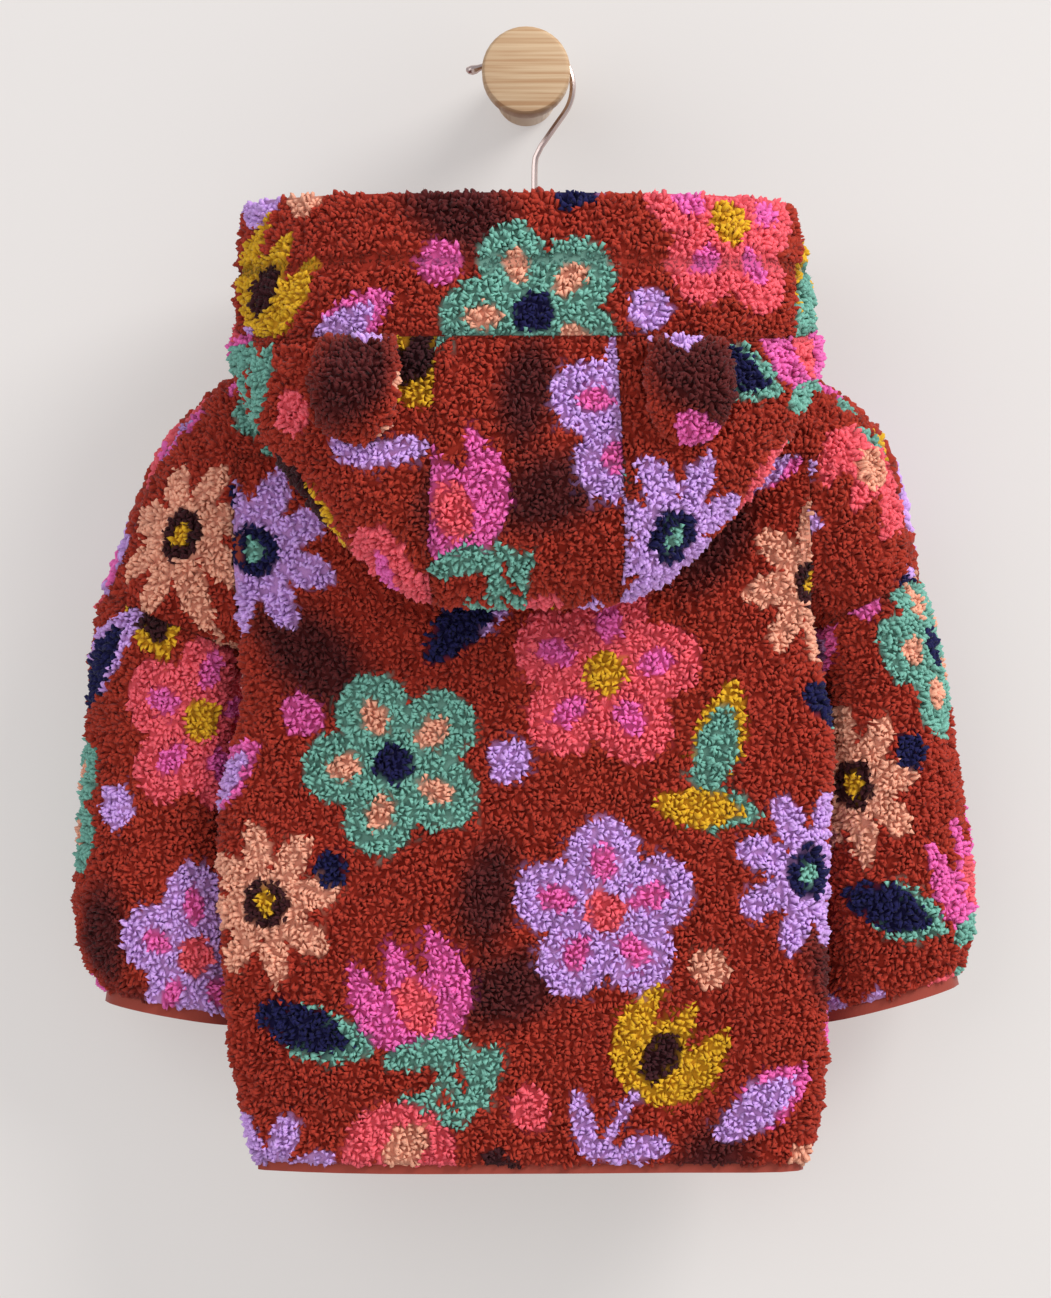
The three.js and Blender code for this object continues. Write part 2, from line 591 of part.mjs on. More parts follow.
// Point of an arm at a section, with shares above 0 on the back and below 0 on the front
function armPoint(side, section, share, depth) {
  const angle = holeAngle(side, Math.abs(share), depth);
  const face = share >= 0 ? "back" : "front";
  const rows = ARM[side];
  const outer = new THREE.Vector2(between(rows, section, "outX"), between(rows, section, "outZ"));
  const inner = new THREE.Vector2(between(rows, section, "inX"), between(rows, section, "inZ"));
  const middle = outer.clone().add(inner).multiplyScalar(0.5);
  const half = outer.clone().sub(middle);
  const degrees = THREE.MathUtils.radToDeg(share >= 0 ? angle : 2 * Math.PI - angle);
  const lift = sleeveCrease(side, section, degrees) - depth;
  const reach = 1 + lift / half.length();
  const point = middle.addScaledVector(half, reach * Math.cos(angle));
  const deep = between(rows, section, "deep") + lift;
  let y = between(rows, section, "midY") + ALONG_VIEW[face] * deep * Math.sin(angle);
  if (section === 0) {
    point.x = holeEdgeX(side, Math.abs(share));
    y = AXIS_Y + ALONG_VIEW[face] * (HOLE_DEPTH - depth) * Math.sin(angle);
  }
  return new THREE.Vector3(SIDES[side] * point.x, y, point.y);
}

// Share of the seam that runs down the ridge and the outer arm
function ridgeShare(side, column) {
  if (column <= 1) return 0;
  const degrees = column < 2 ? RIDGE_SEAM[0] * (column - 1) : RIDGE_SEAM[column - 2];
  return radians(degrees) / holeAngle(side, 1, 0);
}

const YOKE_COLUMNS = [0, 0.2, 0.4, 0.6, 0.8, 0.92, 1, 1.2, 1.4, 1.6, 1.8, 2];
const YOKE_STEPS = 5;

// One half of the yoke on the back or the front, over the shoulder to the dropped seam
function yokeGrids(side, face) {
  const back = face === "back";
  const shoulder = YOKE_COLUMNS.map((column) => {
    const from = ridgeShare(side, column);
    return spread(from, back ? 1 : -1, YOKE_STEPS).map((share) => ({ column, share }));
  });
  const arm = [0, 1, 2, 3, 4, DROP_SEAM].map((section) => {
    const from = ridgeShare(side, section + 2);
    const first = spread(from, back ? 1 : -1, YOKE_STEPS);
    const rest = holeShares(side).slice(1).map((share) => (back ? share : -share));
    return first.concat(rest).map((share) => ({ section, share }));
  });
  const layer = (depth) => ({
    shoulder: shoulder.map((line) =>
      line.map(({ column, share }) => yokePoint(side, column, share, depth, face))),
    arm: arm.map((line) => line.map(({ section, share }) => armPoint(side, section, share, depth))),
  });
  return [layer(0), layer(FLEECE)];
}

// The two grids of each half share the column at the armhole, which is moved off the body
function joinedYoke(side, face) {
  const flip = (side === "left") === (face === "back");
  const [outside, inside] = yokeGrids(side, face);
  const nudge = (SIDES[side] * SEAM) / 2;
  [outside, inside].forEach((layer) => {
    seamed(layer.shoulder, ["start", "end"]);
    seamed(layer.arm, ["last", "start", "end"]);
    layer.arm[0].forEach((point, j) => {
      if (j > YOKE_STEPS) point.x += nudge;
    });
    const edge = layer.shoulder.length - 1;
    layer.shoulder[edge].forEach((point, j) => {
      if (j === YOKE_STEPS) layer.arm[0][j].copy(point);
      else layer.shoulder[edge][j] = layer.arm[0][j].clone();
    });
  });
  return [
    { outside: outside.shoulder, inside: inside.shoulder, flip },
    { outside: outside.arm, inside: inside.arm, flip },
  ];
}

function backYoke() {
  return clothSolid(["left", "right"].flatMap((side) => joinedYoke(side, "back")));
}

function frontYoke(side) {
  return clothSolid(joinedYoke(side, "front"));
}

// Shares round the whole arm, from the ridge seam down the back and up the front
function armRound(side) {
  const from = ridgeShare(side, DROP_SEAM + 2);
  const rows = holeShares(side).slice(1);
  const down = spread(from, 1, YOKE_STEPS).concat(rows);
  const up = rows.slice(0, -1).reverse().map((share) => -share);
  return down.concat(up, spread(-1, from, YOKE_STEPS));
}

function sleeve(side) {
  const last = ARM[side].length - 1;
  const sections = spread(DROP_SEAM, last, last - DROP_SEAM);
  const surface = (section, share, depth) => armPoint(side, section, share, depth);
  return clothSolid([clothGrid(surface, sections, armRound(side), ["first"], side === "left")]);
}

// Smooth binding inside the cuff's edge
function cuffBinding(side) {
  const last = ARM[side].length - 1;
  const end = ARM[side][last];
  const across = new THREE.Vector3(SIDES[side] * (end.outX - end.inX), 0, end.outZ - end.inZ);
  const down = new THREE.Vector3(SIDES[side] * across.z, 0, -SIDES[side] * across.x).normalize();
  const section = (share) => {
    const out = armPoint(side, last, share, BINDING_INSET);
    const deep = armPoint(side, last, share, BINDING_INSET + JERSEY);
    const at = (point, drop) => point.clone().addScaledVector(down, drop);
    const low = SEAM + CUFF_DROP;
    return [at(out, SEAM), at(out, low), at(deep, low), at(deep, SEAM)];
  };
  return ringSolid(armRound(side).slice(0, -1).map(section), true);
}

// Smooth binding inside the hem, from one edge of the zip round to the other
function hemBinding() {
  const frontLeft = spread(0, 1, FRONT_STEPS).map((share) => ({ side: "left", face: "front", share }));
  const backLeft = spread(1, 0, PANEL_STEPS).map((share) => ({ side: "left", face: "back", share }));
  const backRight = spread(0, 1, PANEL_STEPS).map((share) => ({ side: "right", face: "back", share }));
  const frontRight = spread(1, 0, FRONT_STEPS).map((share) => ({ side: "right", face: "front", share }));
  const route = [frontLeft, backLeft.slice(1), backRight.slice(1), frontRight.slice(1)].flat();
  const section = ({ side, face, share }) => {
    const out = bodyPoint(HEM_Z, side, face, share, BINDING_INSET);
    const deep = bodyPoint(HEM_Z, side, face, share, BINDING_INSET + JERSEY);
    const at = (point, drop) => new THREE.Vector3(point.x, point.y, HEM_Z - drop);
    const low = SEAM + BINDING_DROP;
    return [at(out, SEAM), at(out, low), at(deep, low), at(deep, SEAM)];
  };
  return ringSolid(route.map(section));
}

// Cubic curve through two ends and their handles
function cubic(a, b, c, d, part) {
  const rest = 1 - part;
  return new THREE.Vector3()
    .addScaledVector(a, rest ** 3)
    .addScaledVector(b, 3 * rest * rest * part)
    .addScaledVector(c, 3 * rest * part * part)
    .addScaledVector(d, part ** 3);
}

// Outer face of the hood. The section runs from 0 at the middle of the back to the front
// edge. Shares 0 to 1 go from the neck to the fold, to 2 at the band's seam, to 3 at the rim.
function hoodFace(side, section, share) {
  const value = (column) => between(HOOD, section, column);
  const corner = (name) => new THREE.Vector3(value(`${name}X`), value(`${name}Y`), value(`${name}Z`));
  const neck = corner("neck");
  const fold = corner("fold");
  const seam = corner("seam");
  const rim = corner("rim");
  rim.x *= RIM_DRAW[side];
  const turn = radians(value("turn"));
  const out = new THREE.Vector3(Math.sin(turn), -Math.cos(turn), 0);
  const deep = value("deep");
  const near = (point, reach) => point.clone().addScaledVector(out, reach);
  const sideways = clamp(value("turn") / 80, 0, 1);
  const under = Math.min(mix(HOOD_UNDER.back, HOOD_UNDER.side, sideways), neck.distanceTo(fold) / 3);
  const rise = seam.distanceTo(fold) * HOOD_BULGE.rise;
  const away = seam.clone().sub(rim).normalize();
  const below = near(seam, deep * HOOD_BULGE.top).addScaledVector(away, rise);
  const bulge = near(seam.clone().lerp(rim, 0.4), HOOD_BULGE.low);
  const top = near(seam.clone().lerp(rim, 0.8), HOOD_BULGE.high);
  const point =
    share <= 1
      ? cubic(neck, near(neck, under), near(fold, -deep * HOOD_BULGE.under), fold, share)
      : share <= 2
        ? cubic(fold, near(fold, deep), below, seam, share - 1)
        : cubic(seam, bulge, top, rim, share - 2);
  point.x *= SIDES[side];
  return point;
}

// Point of the hood, with sections below 0 on the left
function hoodPoint(section, share, depth) {
  const face = (s, v) => hoodFace(s < 0 ? "left" : "right", Math.abs(s), v);
  const step = 0.02;
  const last = HOOD.length - 1;
  const along = face(Math.min(last, section + step), share).sub(
    face(Math.max(-last, section - step), share),
  );
  const rise = face(section, Math.min(3, share + step)).sub(
    face(section, Math.max(0, share - step)),
  );
  const normal = along.cross(rise).normalize();
  return face(section, share).addScaledVector(normal, -depth);
}

const HOOD_PROFILE = [0, 0.12, 0.3, 0.5, 0.7, 0.86, 1, 1.16, 1.34, 1.55, 1.78, 2];
const BAND_PROFILE = [2, 2.2, 2.4, 2.6, 2.8, 3];
const HOOD_END = HOOD.length - 1;

function hoodMiddle() {
  const sections = spread(-HOOD_PANEL_SEAM, HOOD_PANEL_SEAM, 6);
  return outward(
    clothSolid([clothGrid(hoodPoint, sections, HOOD_PROFILE, ["first", "last", "end"])]),
  );
}

function hoodSide(side) {
  const sign = SIDES[side];
  const sections = spread(sign * HOOD_PANEL_SEAM, sign * HOOD_SIDE_END, 2 * (HOOD_SIDE_END - 1));
  const grid = clothGrid(hoodPoint, sections, HOOD_PROFILE, ["first", "end"]);
  return clearOf(outward(clothSolid([grid])), bandCutter());
}

function bandSections() {
  const half = spread(HOOD_PANEL_SEAM, HOOD_END, 2 * (HOOD_END - 1));
  const middle = spread(-HOOD_PANEL_SEAM, HOOD_PANEL_SEAM, 6).slice(1, -1);
  return [...half.map((section) => -section).reverse(), ...middle, ...half];
}

function hoodBand() {
  return outward(clothSolid([clothGrid(hoodPoint, bandSections(), BAND_PROFILE, ["start"])]));
}

// The band a seam gap thicker all over, which trims the hood's sides where they taper off
function bandCutter() {
  const layer = (depth) =>
    bandSections().map((section) => BAND_PROFILE.map((share) => hoodPoint(section, share, depth)));
  return outward(clothSolid([{ outside: layer(-SEAM), inside: layer(FLEECE + SEAM) }]));
}

// How far the pouch bulges past its band seam at a level, along a direction
function pouchBulge(section, z, out) {
  const root = hoodPoint(section, 2, 0);
  const points = spread(1.1, 2, 30).map((share) => hoodPoint(section, share, 0));
  const near = points.filter((point) => Math.abs(point.z - z) < EAR_LEVEL);
  return Math.max(0, ...near.map((point) => point.sub(root).dot(out)));
}

// A stuffed tab: its outline widens from the root and rounds off at the tip
function ear({ side, at }) {
  const section = SIDES[side] * at;
  const root = hoodPoint(section, 2, 0);
  const along = hoodPoint(section + 0.3, 2, 0).sub(hoodPoint(section - 0.3, 2, 0));
  const across = along.setZ(0).normalize();
  const out = new THREE.Vector3(across.y, -across.x, 0);
  const ring = (share) => {
    const width = mix(EAR.root, EAR.wide, Math.min(1, share * EAR.flare)) / 2;
    const half = width * Math.sqrt(1 - Math.pow(share, EAR.square));
    const turn = Math.PI * mix(0.12, 0.98, share);
    const thick = (EAR.thick / 2) * Math.pow(Math.sin(turn), EAR.slim);
    const bulge = pouchBulge(section, root.z - EAR.long * share, out);
    const middle = root.clone().addScaledVector(out, 0.5 + thick + bulge);
    middle.z -= 1 + EAR.long * share;
    return spread(0, 2 * Math.PI, 16).slice(0, -1).map((angle) => {
      const sideways = Math.cos(angle) * half;
      const forward = Math.sign(Math.sin(angle)) * Math.pow(Math.abs(Math.sin(angle)), 0.8) * thick;
      return middle.clone().addScaledVector(across, sideways).addScaledVector(out, forward);
    });
  };
  return ringSolid(EAR_RINGS.map(ring));
}

// Outer face of the front at the zip, from the neck to the hem
function zipLine(z) {
  const part = clamp((NECK_FRONT.z - z) / (NECK_FRONT.z - YOKE_Z), 0, 1);
  if (z > YOKE_Z) return mix(NECK_FRONT.y, BODY[0].front, part);
  return between(BODY, bodyRow(z), "front");
}

// A strip along the zip, with its near edge given by level, a far edge, thickness and depth
function zipStrip(near, far, thick, sunk, levels) {
  return ringSolid(
    levels.map((z) => {
      const front = zipLine(z) - sunk;
      return [
        new THREE.Vector3(near(z), front, z),
        new THREE.Vector3(far, front, z),
        new THREE.Vector3(far, front - thick, z),
        new THREE.Vector3(near(z), front - thick, z),
      ];
    }),
  );
}

const ZIP_LEVELS = [SLIDER.top, ZIP.top + 0.2, ZIP.top, -180, YOKE_Z, -300, -400, -500, HEM_Z];

function zipTape(side) {
  const near = (z) => (z > ZIP.top ? SLIDER.half + SEAM : ZIP.chainHalf + SEAM);
  const strip = zipStrip(near, ZIP_HALF - SEAM, ZIP.tapeThick, ZIP.tapeIn, ZIP_LEVELS);
  return side === "left" ? outward(strip.scale(-1, 1, 1)) : strip;
}

function zipChain() {
  const levels = ZIP_LEVELS.filter((z) => z <= ZIP.top);
  return zipStrip(() => -ZIP.chainHalf, ZIP.chainHalf, ZIP.chainThick, ZIP.chainIn, levels);
}

// Sides of the slider and its bail as one outline in the plane of the zip's travel
function zipSlider() {
  const faceY = zipLine(PULL_AXIS_Z) + SLIDER.front;
  const backY = zipLine(PULL_AXIS_Z) - SLIDER.back;
  const body = [
    { z: SLIDER.top, half: SLIDER.nose },
    { z: SLIDER.top - 1.4, half: SLIDER.half },
    { z: SLIDER.bottom + 3, half: SLIDER.half },
    { z: SLIDER.bottom, half: SLIDER.tail },
  ].map(({ z, half }) => [
    new THREE.Vector3(-half, backY, z),
    new THREE.Vector3(half, backY, z),
    new THREE.Vector3(half, faceY, z),
    new THREE.Vector3(-half, faceY, z),
  ]);
  return { body: ringSolid(body), faceY };
}

// Bail over the slider's face: an arch that the pull tab's bar turns in
function zipBail(faceY) {
  const axisY = faceY + BAIL.under;
  const outline = new THREE.Shape();
  const bar = (y, z) => [z - PULL_AXIS_Z, y - axisY];
  const corners = [
    bar(faceY - BAIL.sunk, PULL_AXIS_Z - BAIL.legFar),
    bar(axisY + BAIL.over, PULL_AXIS_Z - BAIL.legFar),
    bar(axisY + BAIL.over, PULL_AXIS_Z + BAIL.legFar),
    bar(faceY - BAIL.sunk, PULL_AXIS_Z + BAIL.legFar),
    bar(faceY - BAIL.sunk, PULL_AXIS_Z + BAIL.legNear),
    bar(axisY + BAIL.under, PULL_AXIS_Z + BAIL.legNear),
    bar(axisY + BAIL.under, PULL_AXIS_Z - BAIL.legNear),
    bar(faceY - BAIL.sunk, PULL_AXIS_Z - BAIL.legNear),
  ];
  corners.forEach(([z, y], i) => (i ? outline.lineTo(z, y) : outline.moveTo(z, y)));
  const arch = new THREE.ExtrudeGeometry(outline, { depth: 2 * BAIL.half, bevelEnabled: false });
  const place = new THREE.Matrix4().makeBasis(
    new THREE.Vector3(0, 0, 1),
    new THREE.Vector3(0, 1, 0),
    new THREE.Vector3(-1, 0, 0),
  );
  place.setPosition(BAIL.half, axisY, PULL_AXIS_Z);
  return { arch: arch.applyMatrix4(place), axisY };
}

// Pull tab: a plate with a window below the bar that it hangs by
function zipPull(axisY) {
  const outline = new THREE.Shape();
  outline.moveTo(-PULL.half, PULL.bar);
  outline.lineTo(PULL.half, PULL.bar);
  outline.lineTo(PULL.half, PULL.half - PULL.long);
  outline.absarc(0, PULL.half - PULL.long, PULL.half, 0, -Math.PI, true);
  outline.lineTo(-PULL.half, PULL.bar);
  const window = new THREE.Path();
  window.moveTo(-PULL.windowHalf, -PULL.bar);
  window.lineTo(-PULL.windowHalf, -PULL.windowEnd);
  window.lineTo(PULL.windowHalf, -PULL.windowEnd);
  window.lineTo(PULL.windowHalf, -PULL.bar);
  window.lineTo(-PULL.windowHalf, -PULL.bar);
  outline.holes.push(window);
  const plate = new THREE.ExtrudeGeometry(outline, {
    depth: PULL.thick,
    bevelEnabled: false,
    curveSegments: 10,
  });
  plate.rotateX(RIGHT_ANGLE);
  return plate.translate(0, axisY + PULL.thick / 2, PULL_AXIS_Z);
}

// Underside of the shoulder cloth at the ridge, where the hanger rests
function hangerTop(x) {
  if (x >= NECK_HALF) return yokeTop(x, "back").z - FLEECE - HANGER.under;
  const shoulder = yokeTop(NECK_HALF, "back").z - FLEECE - HANGER.under;
  const rise = Math.sin(clamp(1 - x / (NECK_HALF - HANGER.clear), 0, 1) * RIGHT_ANGLE);
  return mix(shoulder, HANGER.topZ, rise);
}

// Bent wooden hanger: a rounded bar that slopes from its middle to both shoulders
function hanger() {
  const places = spread(-HANGER.half, HANGER.half, 24);
  const ring = (x) => {
    const end = clamp((HANGER.half - Math.abs(x)) / HANGER.endRound, 0, 1);
    const size = mix(HANGER.endSize, 1, Math.sqrt(end));
    const middle = hangerTop(Math.abs(x)) - HANGER.tall / 2;
    return spread(0, 2 * Math.PI, 8).slice(0, -1).map((angle) => {
      const round = (value) => Math.sign(value) * Math.pow(Math.abs(value), 0.6);
      const y = AXIS_Y + (HANGER.thick / 2) * size * round(Math.cos(angle));
      return new THREE.Vector3(x, y, middle + (HANGER.tall / 2) * size * round(Math.sin(angle)));
    });
  };
  return ringSolid(places.map(ring));
}

// Wire hook: a straight neck, a bend, a loop over the peg and a flared tip with a bulb
function hook() {
  const loop = spread(radians(HOOK.loopFrom), radians(HOOK.loopTo), 18).map((angle) => [
    HOOK.loopX + HOOK.loop * Math.cos(angle),
    HOOK.loopZ + HOOK.loop * Math.sin(angle),
  ]);
  const route = [...HOOK_NECK, ...loop, ...HOOK_TIP];
  const curve = new THREE.CatmullRomCurve3(route.map(([x, z]) => new THREE.Vector3(x, AXIS_Y, z)));
  const rings = spread(0, 1, HOOK_STEPS).map((share, i) => {
    const point = curve.getPoint(share);
    const along = curve.getTangent(share);
    const side = new THREE.Vector3(-along.z, 0, along.x);
    const fromEnd = i - (HOOK_STEPS - HOOK_BULB.length + 1);
    const radius = (HOOK.wire / 2) * (fromEnd >= 0 ? HOOK_BULB[fromEnd] : 1);
    return spread(0, 2 * Math.PI, 8).slice(0, -1).map((angle) => {
      const onWire = point.clone().addScaledVector(side, Math.cos(angle) * radius);
      onWire.y += Math.sin(angle) * radius;
      return onWire;
    });
  });
  return ringSolid(rings);
}

// Turned peg: a shank out of the wall and a flat round head
function peg() {
  const edge = spread(0, RIGHT_ANGLE, 3).map((angle) => [
    PEG.headRadius - PEG.round + PEG.round * Math.sin(angle),
    -PEG.headFront - PEG.round + PEG.round * Math.cos(angle),
  ]);
  const profile = [
    [0, 0],
    [PEG.shankRadius, 0],
    [PEG.shankRadius, -PEG.headBack],
    [PEG.headRadius - PEG.bevel, -PEG.headBack],
    [PEG.headRadius, -PEG.headBack + PEG.bevel],
    ...edge.reverse(),
    [0, -PEG.headFront],
  ];
  const points = profile.map(([radius, out]) => new THREE.Vector2(radius, out));
  return new THREE.LatheGeometry(points, 40).rotateX(2 * RIGHT_ANGLE);
}

const jacket = new THREE.Group();

function add(name, geometry, colour, roughness = 0.95, metalness = 0) {
  const material = new THREE.MeshStandardMaterial({ color: colour, roughness, metalness });
  const mesh = new THREE.Mesh(geometry, material);
  mesh.name = name;
  jacket.add(mesh);
}

add("back", outward(backPanel()), COLOURS.rust);
add("yoke_back", outward(backYoke()), COLOURS.lilac);
["left", "right"].forEach((side) => {
  add(`front_${side}`, outward(frontPanel(side)), COLOURS.rust);
  add(`yoke_front_${side}`, outward(frontYoke(side)), COLOURS.rust);
  add(`sleeve_${side}`, outward(sleeve(side)), COLOURS.coral);
  add(`cuff_binding_${side}`, cuffBinding(side), COLOURS.binding);
  add(`hood_side_${side}`, hoodSide(side), COLOURS.teal);
  add(`zip_tape_${side}`, zipTape(side), COLOURS.binding);
});
add("hem_binding", hemBinding(), COLOURS.binding);
add("hood_middle", hoodMiddle(), COLOURS.rust);
add("hood_band", hoodBand(), COLOURS.rust);
EARS.forEach((tab) => add(tab.name, ear(tab), COLOURS.rust));

const slider = zipSlider();
const bail = zipBail(slider.faceY);
add("zip_chain", zipChain(), COLOURS.metal, 0.4, 0.8);
add("zip_slider", joined(slider.body, bail.arch), COLOURS.metal, 0.35, 0.9);
add("zip_pull", zipPull(bail.axisY), COLOURS.metal, 0.35, 0.9);
add("hanger_bar", hanger(), COLOURS.wood, 0.6);
add("hanger_hook", hook(), COLOURS.metal, 0.3, 1);
add("wall_peg", peg(), COLOURS.wood, 0.6);

export default jacket;
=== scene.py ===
import math
from functools import lru_cache

import bpy
import numpy as np
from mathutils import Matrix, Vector
from mathutils.bvhtree import BVHTree
from mathutils.kdtree import KDTree


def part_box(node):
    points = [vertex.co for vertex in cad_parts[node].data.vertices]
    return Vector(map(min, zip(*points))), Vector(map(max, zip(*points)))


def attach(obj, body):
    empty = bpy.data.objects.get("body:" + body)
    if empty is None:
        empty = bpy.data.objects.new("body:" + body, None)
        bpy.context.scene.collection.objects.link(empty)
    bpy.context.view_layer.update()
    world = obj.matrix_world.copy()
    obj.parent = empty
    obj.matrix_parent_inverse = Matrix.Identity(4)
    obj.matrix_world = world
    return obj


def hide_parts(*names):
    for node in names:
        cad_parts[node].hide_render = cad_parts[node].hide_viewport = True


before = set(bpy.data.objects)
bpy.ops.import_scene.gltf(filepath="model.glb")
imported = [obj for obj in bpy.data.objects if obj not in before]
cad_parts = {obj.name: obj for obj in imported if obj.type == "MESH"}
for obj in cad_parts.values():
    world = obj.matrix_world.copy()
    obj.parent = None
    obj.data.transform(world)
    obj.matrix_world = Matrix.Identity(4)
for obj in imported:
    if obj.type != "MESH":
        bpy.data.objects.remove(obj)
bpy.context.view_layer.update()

bl_info = {
    "name": "Hooded Fleece Jacket",
    "version": (1, 0, 0),
    "blender": (4, 5, 0),
    "location": "View3D > Sidebar > Fleece Jacket",
    "description": "Curly fleece, trims, hanger, peg and studio for a child's hooded jacket",
    "category": "Object",
}

BODY = "jacket"

# Plane of the hanger, in the middle of the body's hollow
HANGER_Y = -0.066
YOKE_Z = -0.208
# The hollow's middle line ends this far from the jacket's middle, and this far below the yoke
BODY_REACH = 0.105
BODY_TOP = YOKE_Z - 0.007
# Share of that reach in the hood, and where a yoke goes over from body to arm
HOOD_SHARE = 0.8
ARM_START = 0.150
# Middle line of an arm
ARM_LINE = [
    (0.150, -0.066, -0.236),
    (0.175, -0.062, -0.270),
    (0.193, -0.058, -0.310),
    (0.199, -0.052, -0.400),
    (0.199, -0.050, -0.500),
]
HOOD_MIDDLE_Y = -0.130
# Start of a ray clear of the face that it leaves, and the most that the cloth is thick
RAY_GAP = 1e-5
CLOTH_REACH = 0.0085
# A face looks across the cloth where its opposite one turns away by at least this
OPPOSITE = -0.3
# Faces that turn by less than this belong to one patch
SAME_PATCH = 0.2
# A cut edge with another piece nearer than this is inside a seam
SEAM_REACH = 0.002
# A patch of a panel's faces under this share of them is part of a turned edge
STRIP_SHARE = 0.04


class Panel:
    """One cut piece of fleece: how it is hollow, printed, and cut."""

    def __init__(self, node, group, wrap, offset, cut, area, hidden=False):
        self.node = node
        self.group = group
        self.wrap = wrap
        self.offset = offset
        self.cut = cut
        self.area = area
        self.hidden = hidden


# Cut pieces: node, hollow, depth in mm from which the print wraps, the print's offset in mm,
# and the flat cut in m with its area in square metres
BODY_PANELS = [
    Panel("back", "body", -113, (20, 40), (0.376, 0.374), 0.1338),
    Panel("front_left", "body", -18, (118, 260), (0.160, 0.374), 0.0590, hidden=True),
    Panel("front_right", "body", -18, (231, 95), (0.160, 0.374), 0.0590, hidden=True),
]
YOKE_PANELS = [
    Panel("yoke_back", "yoke", -113, (64, 181), (0.480, 0.205), 0.0420),
    Panel("yoke_front_left", "yoke", -18, (10, 20), (0.240, 0.215), 0.0240, hidden=True),
    Panel("yoke_front_right", "yoke", -18, (170, 310), (0.230, 0.205), 0.0220, hidden=True),
]
SLEEVE_PANELS = [
    Panel("sleeve_left", "arm", 0, (35, 66), (0.262, 0.229), 0.0490),
    Panel("sleeve_right", "arm", 0, (205, 148), (0.262, 0.237), 0.0490),
]
HOOD_PANELS = [
    Panel("hood_middle", "hood", -175, (0, 122), (0.100, 0.330), 0.0290),
    Panel("hood_side_left", "hood", -175, (150, 16), (0.200, 0.330), 0.0320),
    Panel("hood_side_right", "hood", -175, (95, 205), (0.200, 0.330), 0.0320),
    Panel("hood_band", "band", -173, (246, 318), (0.680, 0.078), 0.0450),
]
EAR_PANELS = [
    Panel("ear_left", "ear", -180, (211, 303), None, None),
    Panel("ear_right", "ear", -180, (110, 68), None, None),
]

# Motifs of the print's tile: kind, place across and up, size in mm, turn in degrees, colours
MOTIFS = [
    ("shade", 118, 132, 40, 62, ("brown",)),
    ("shade", 206, 236, 46, -40, ("brown",)),
    ("shade", 12, 232, 40, 18, ("brown",)),
    ("shade", 300, 112, 34, 80, ("brown",)),
    ("leaf", 122, 22, 34, 66, ("mustard", "teal")),
    ("leaf", 206, 38, 36, -24, ("teal", "navy")),
    ("leaf", 150, 172, 33, 28, ("pink", "lilac")),
    ("leaf", 20, 118, 34, -62, ("mustard", "brown")),
    ("leaf", 292, 262, 36, 40, ("lilac", "navy")),
    ("leaf", 118, 326, 30, -12, ("teal", "mustard")),
    ("blossom", 62, 58, 52, 12, ("coral", "pink", "mustard")),
    ("blossom", 250, 180, 50, 40, ("teal", "peach", "navy")),
    ("blossom", 62, 272, 50, 20, ("lilac", "pink", "coral")),
    ("daisy", 178, 106, 44, 10, ("peach", "brown", "mustard")),
    ("daisy", 176, 292, 46, 26, ("lilac", "navy", "teal")),
    ("tulip", 262, 52, 44, 24, ("pink", "coral", "teal")),
    ("tulip", 92, 194, 42, -34, ("mustard", "brown", "lilac")),
    ("tulip", 256, 318, 42, 152, ("coral", "peach", "teal")),
    ("dot", 22, 168, 12, 0, ("coral",)),
    ("dot", 118, 242, 11, 0, ("peach",)),
    ("dot", 216, 124, 10, 0, ("navy",)),
    ("dot", 10, 12, 12, 0, ("lilac",)),
    ("dot", 200, 206, 12, 0, ("pink",)),
]

# Farthest that a motif goes from its middle, in its own size
MOTIF_REACH = 1.9
PRINT_COLOURS = (
    "ground", "coral", "pink", "lilac", "teal", "peach", "navy", "mustard", "brown",
)

COLOUR_OPTIONS = {"subtype": "COLOR", "size": 4, "min": 0.0, "max": 1.0}


def linear(code):
    """A hexadecimal screen colour as linear red, green, blue and alpha."""
    parts = [int(code[i : i + 2], 16) / 255 for i in (0, 2, 4)]
    return [((p + 0.055) / 1.055) ** 2.4 if p > 0.04045 else p / 12.92 for p in parts] + [1.0]


def colour_setting(name, description, code):
    return bpy.props.FloatVectorProperty(
        name=name, description=description, default=linear(code), **COLOUR_OPTIONS
    )


def length_setting(name, description, value):
    return bpy.props.FloatProperty(
        name=name, description=description, default=value, unit="LENGTH", min=0.0
    )


class FleeceSettings(bpy.types.PropertyGroup):
    """Curled pile of the cloth."""

    depth: length_setting("Pile depth", "Height of the pile over the backing", 0.0026)
    proud: length_setting("Tip", "How far the locks rise past the panel's face", 0.0014)
    spacing: length_setting(
        "Lock spacing", "Distance between locks where the cloth shows", 0.00245
    )
    hidden_spacing: length_setting(
        "Hidden spacing", "Distance between locks on the side to the wall", 0.0041
    )
    width: length_setting("Lock width", "Half the width of a lock", 0.0014)
    clump: length_setting("Clump", "Size of the clumps that the locks gather in", 0.0050)
    fibre: length_setting("Fibre", "Length of the stray fibres", 0.0016)
    lean: bpy.props.FloatProperty(
        name="Lean", description="How far the locks lie over", default=0.45, min=0.0, max=2.0
    )
    seam: length_setting("Seam furrow", "Reach of the furrow beside each seam", 0.0052)
    seed: bpy.props.IntProperty(name="Seed", description="Order of the locks", default=11)


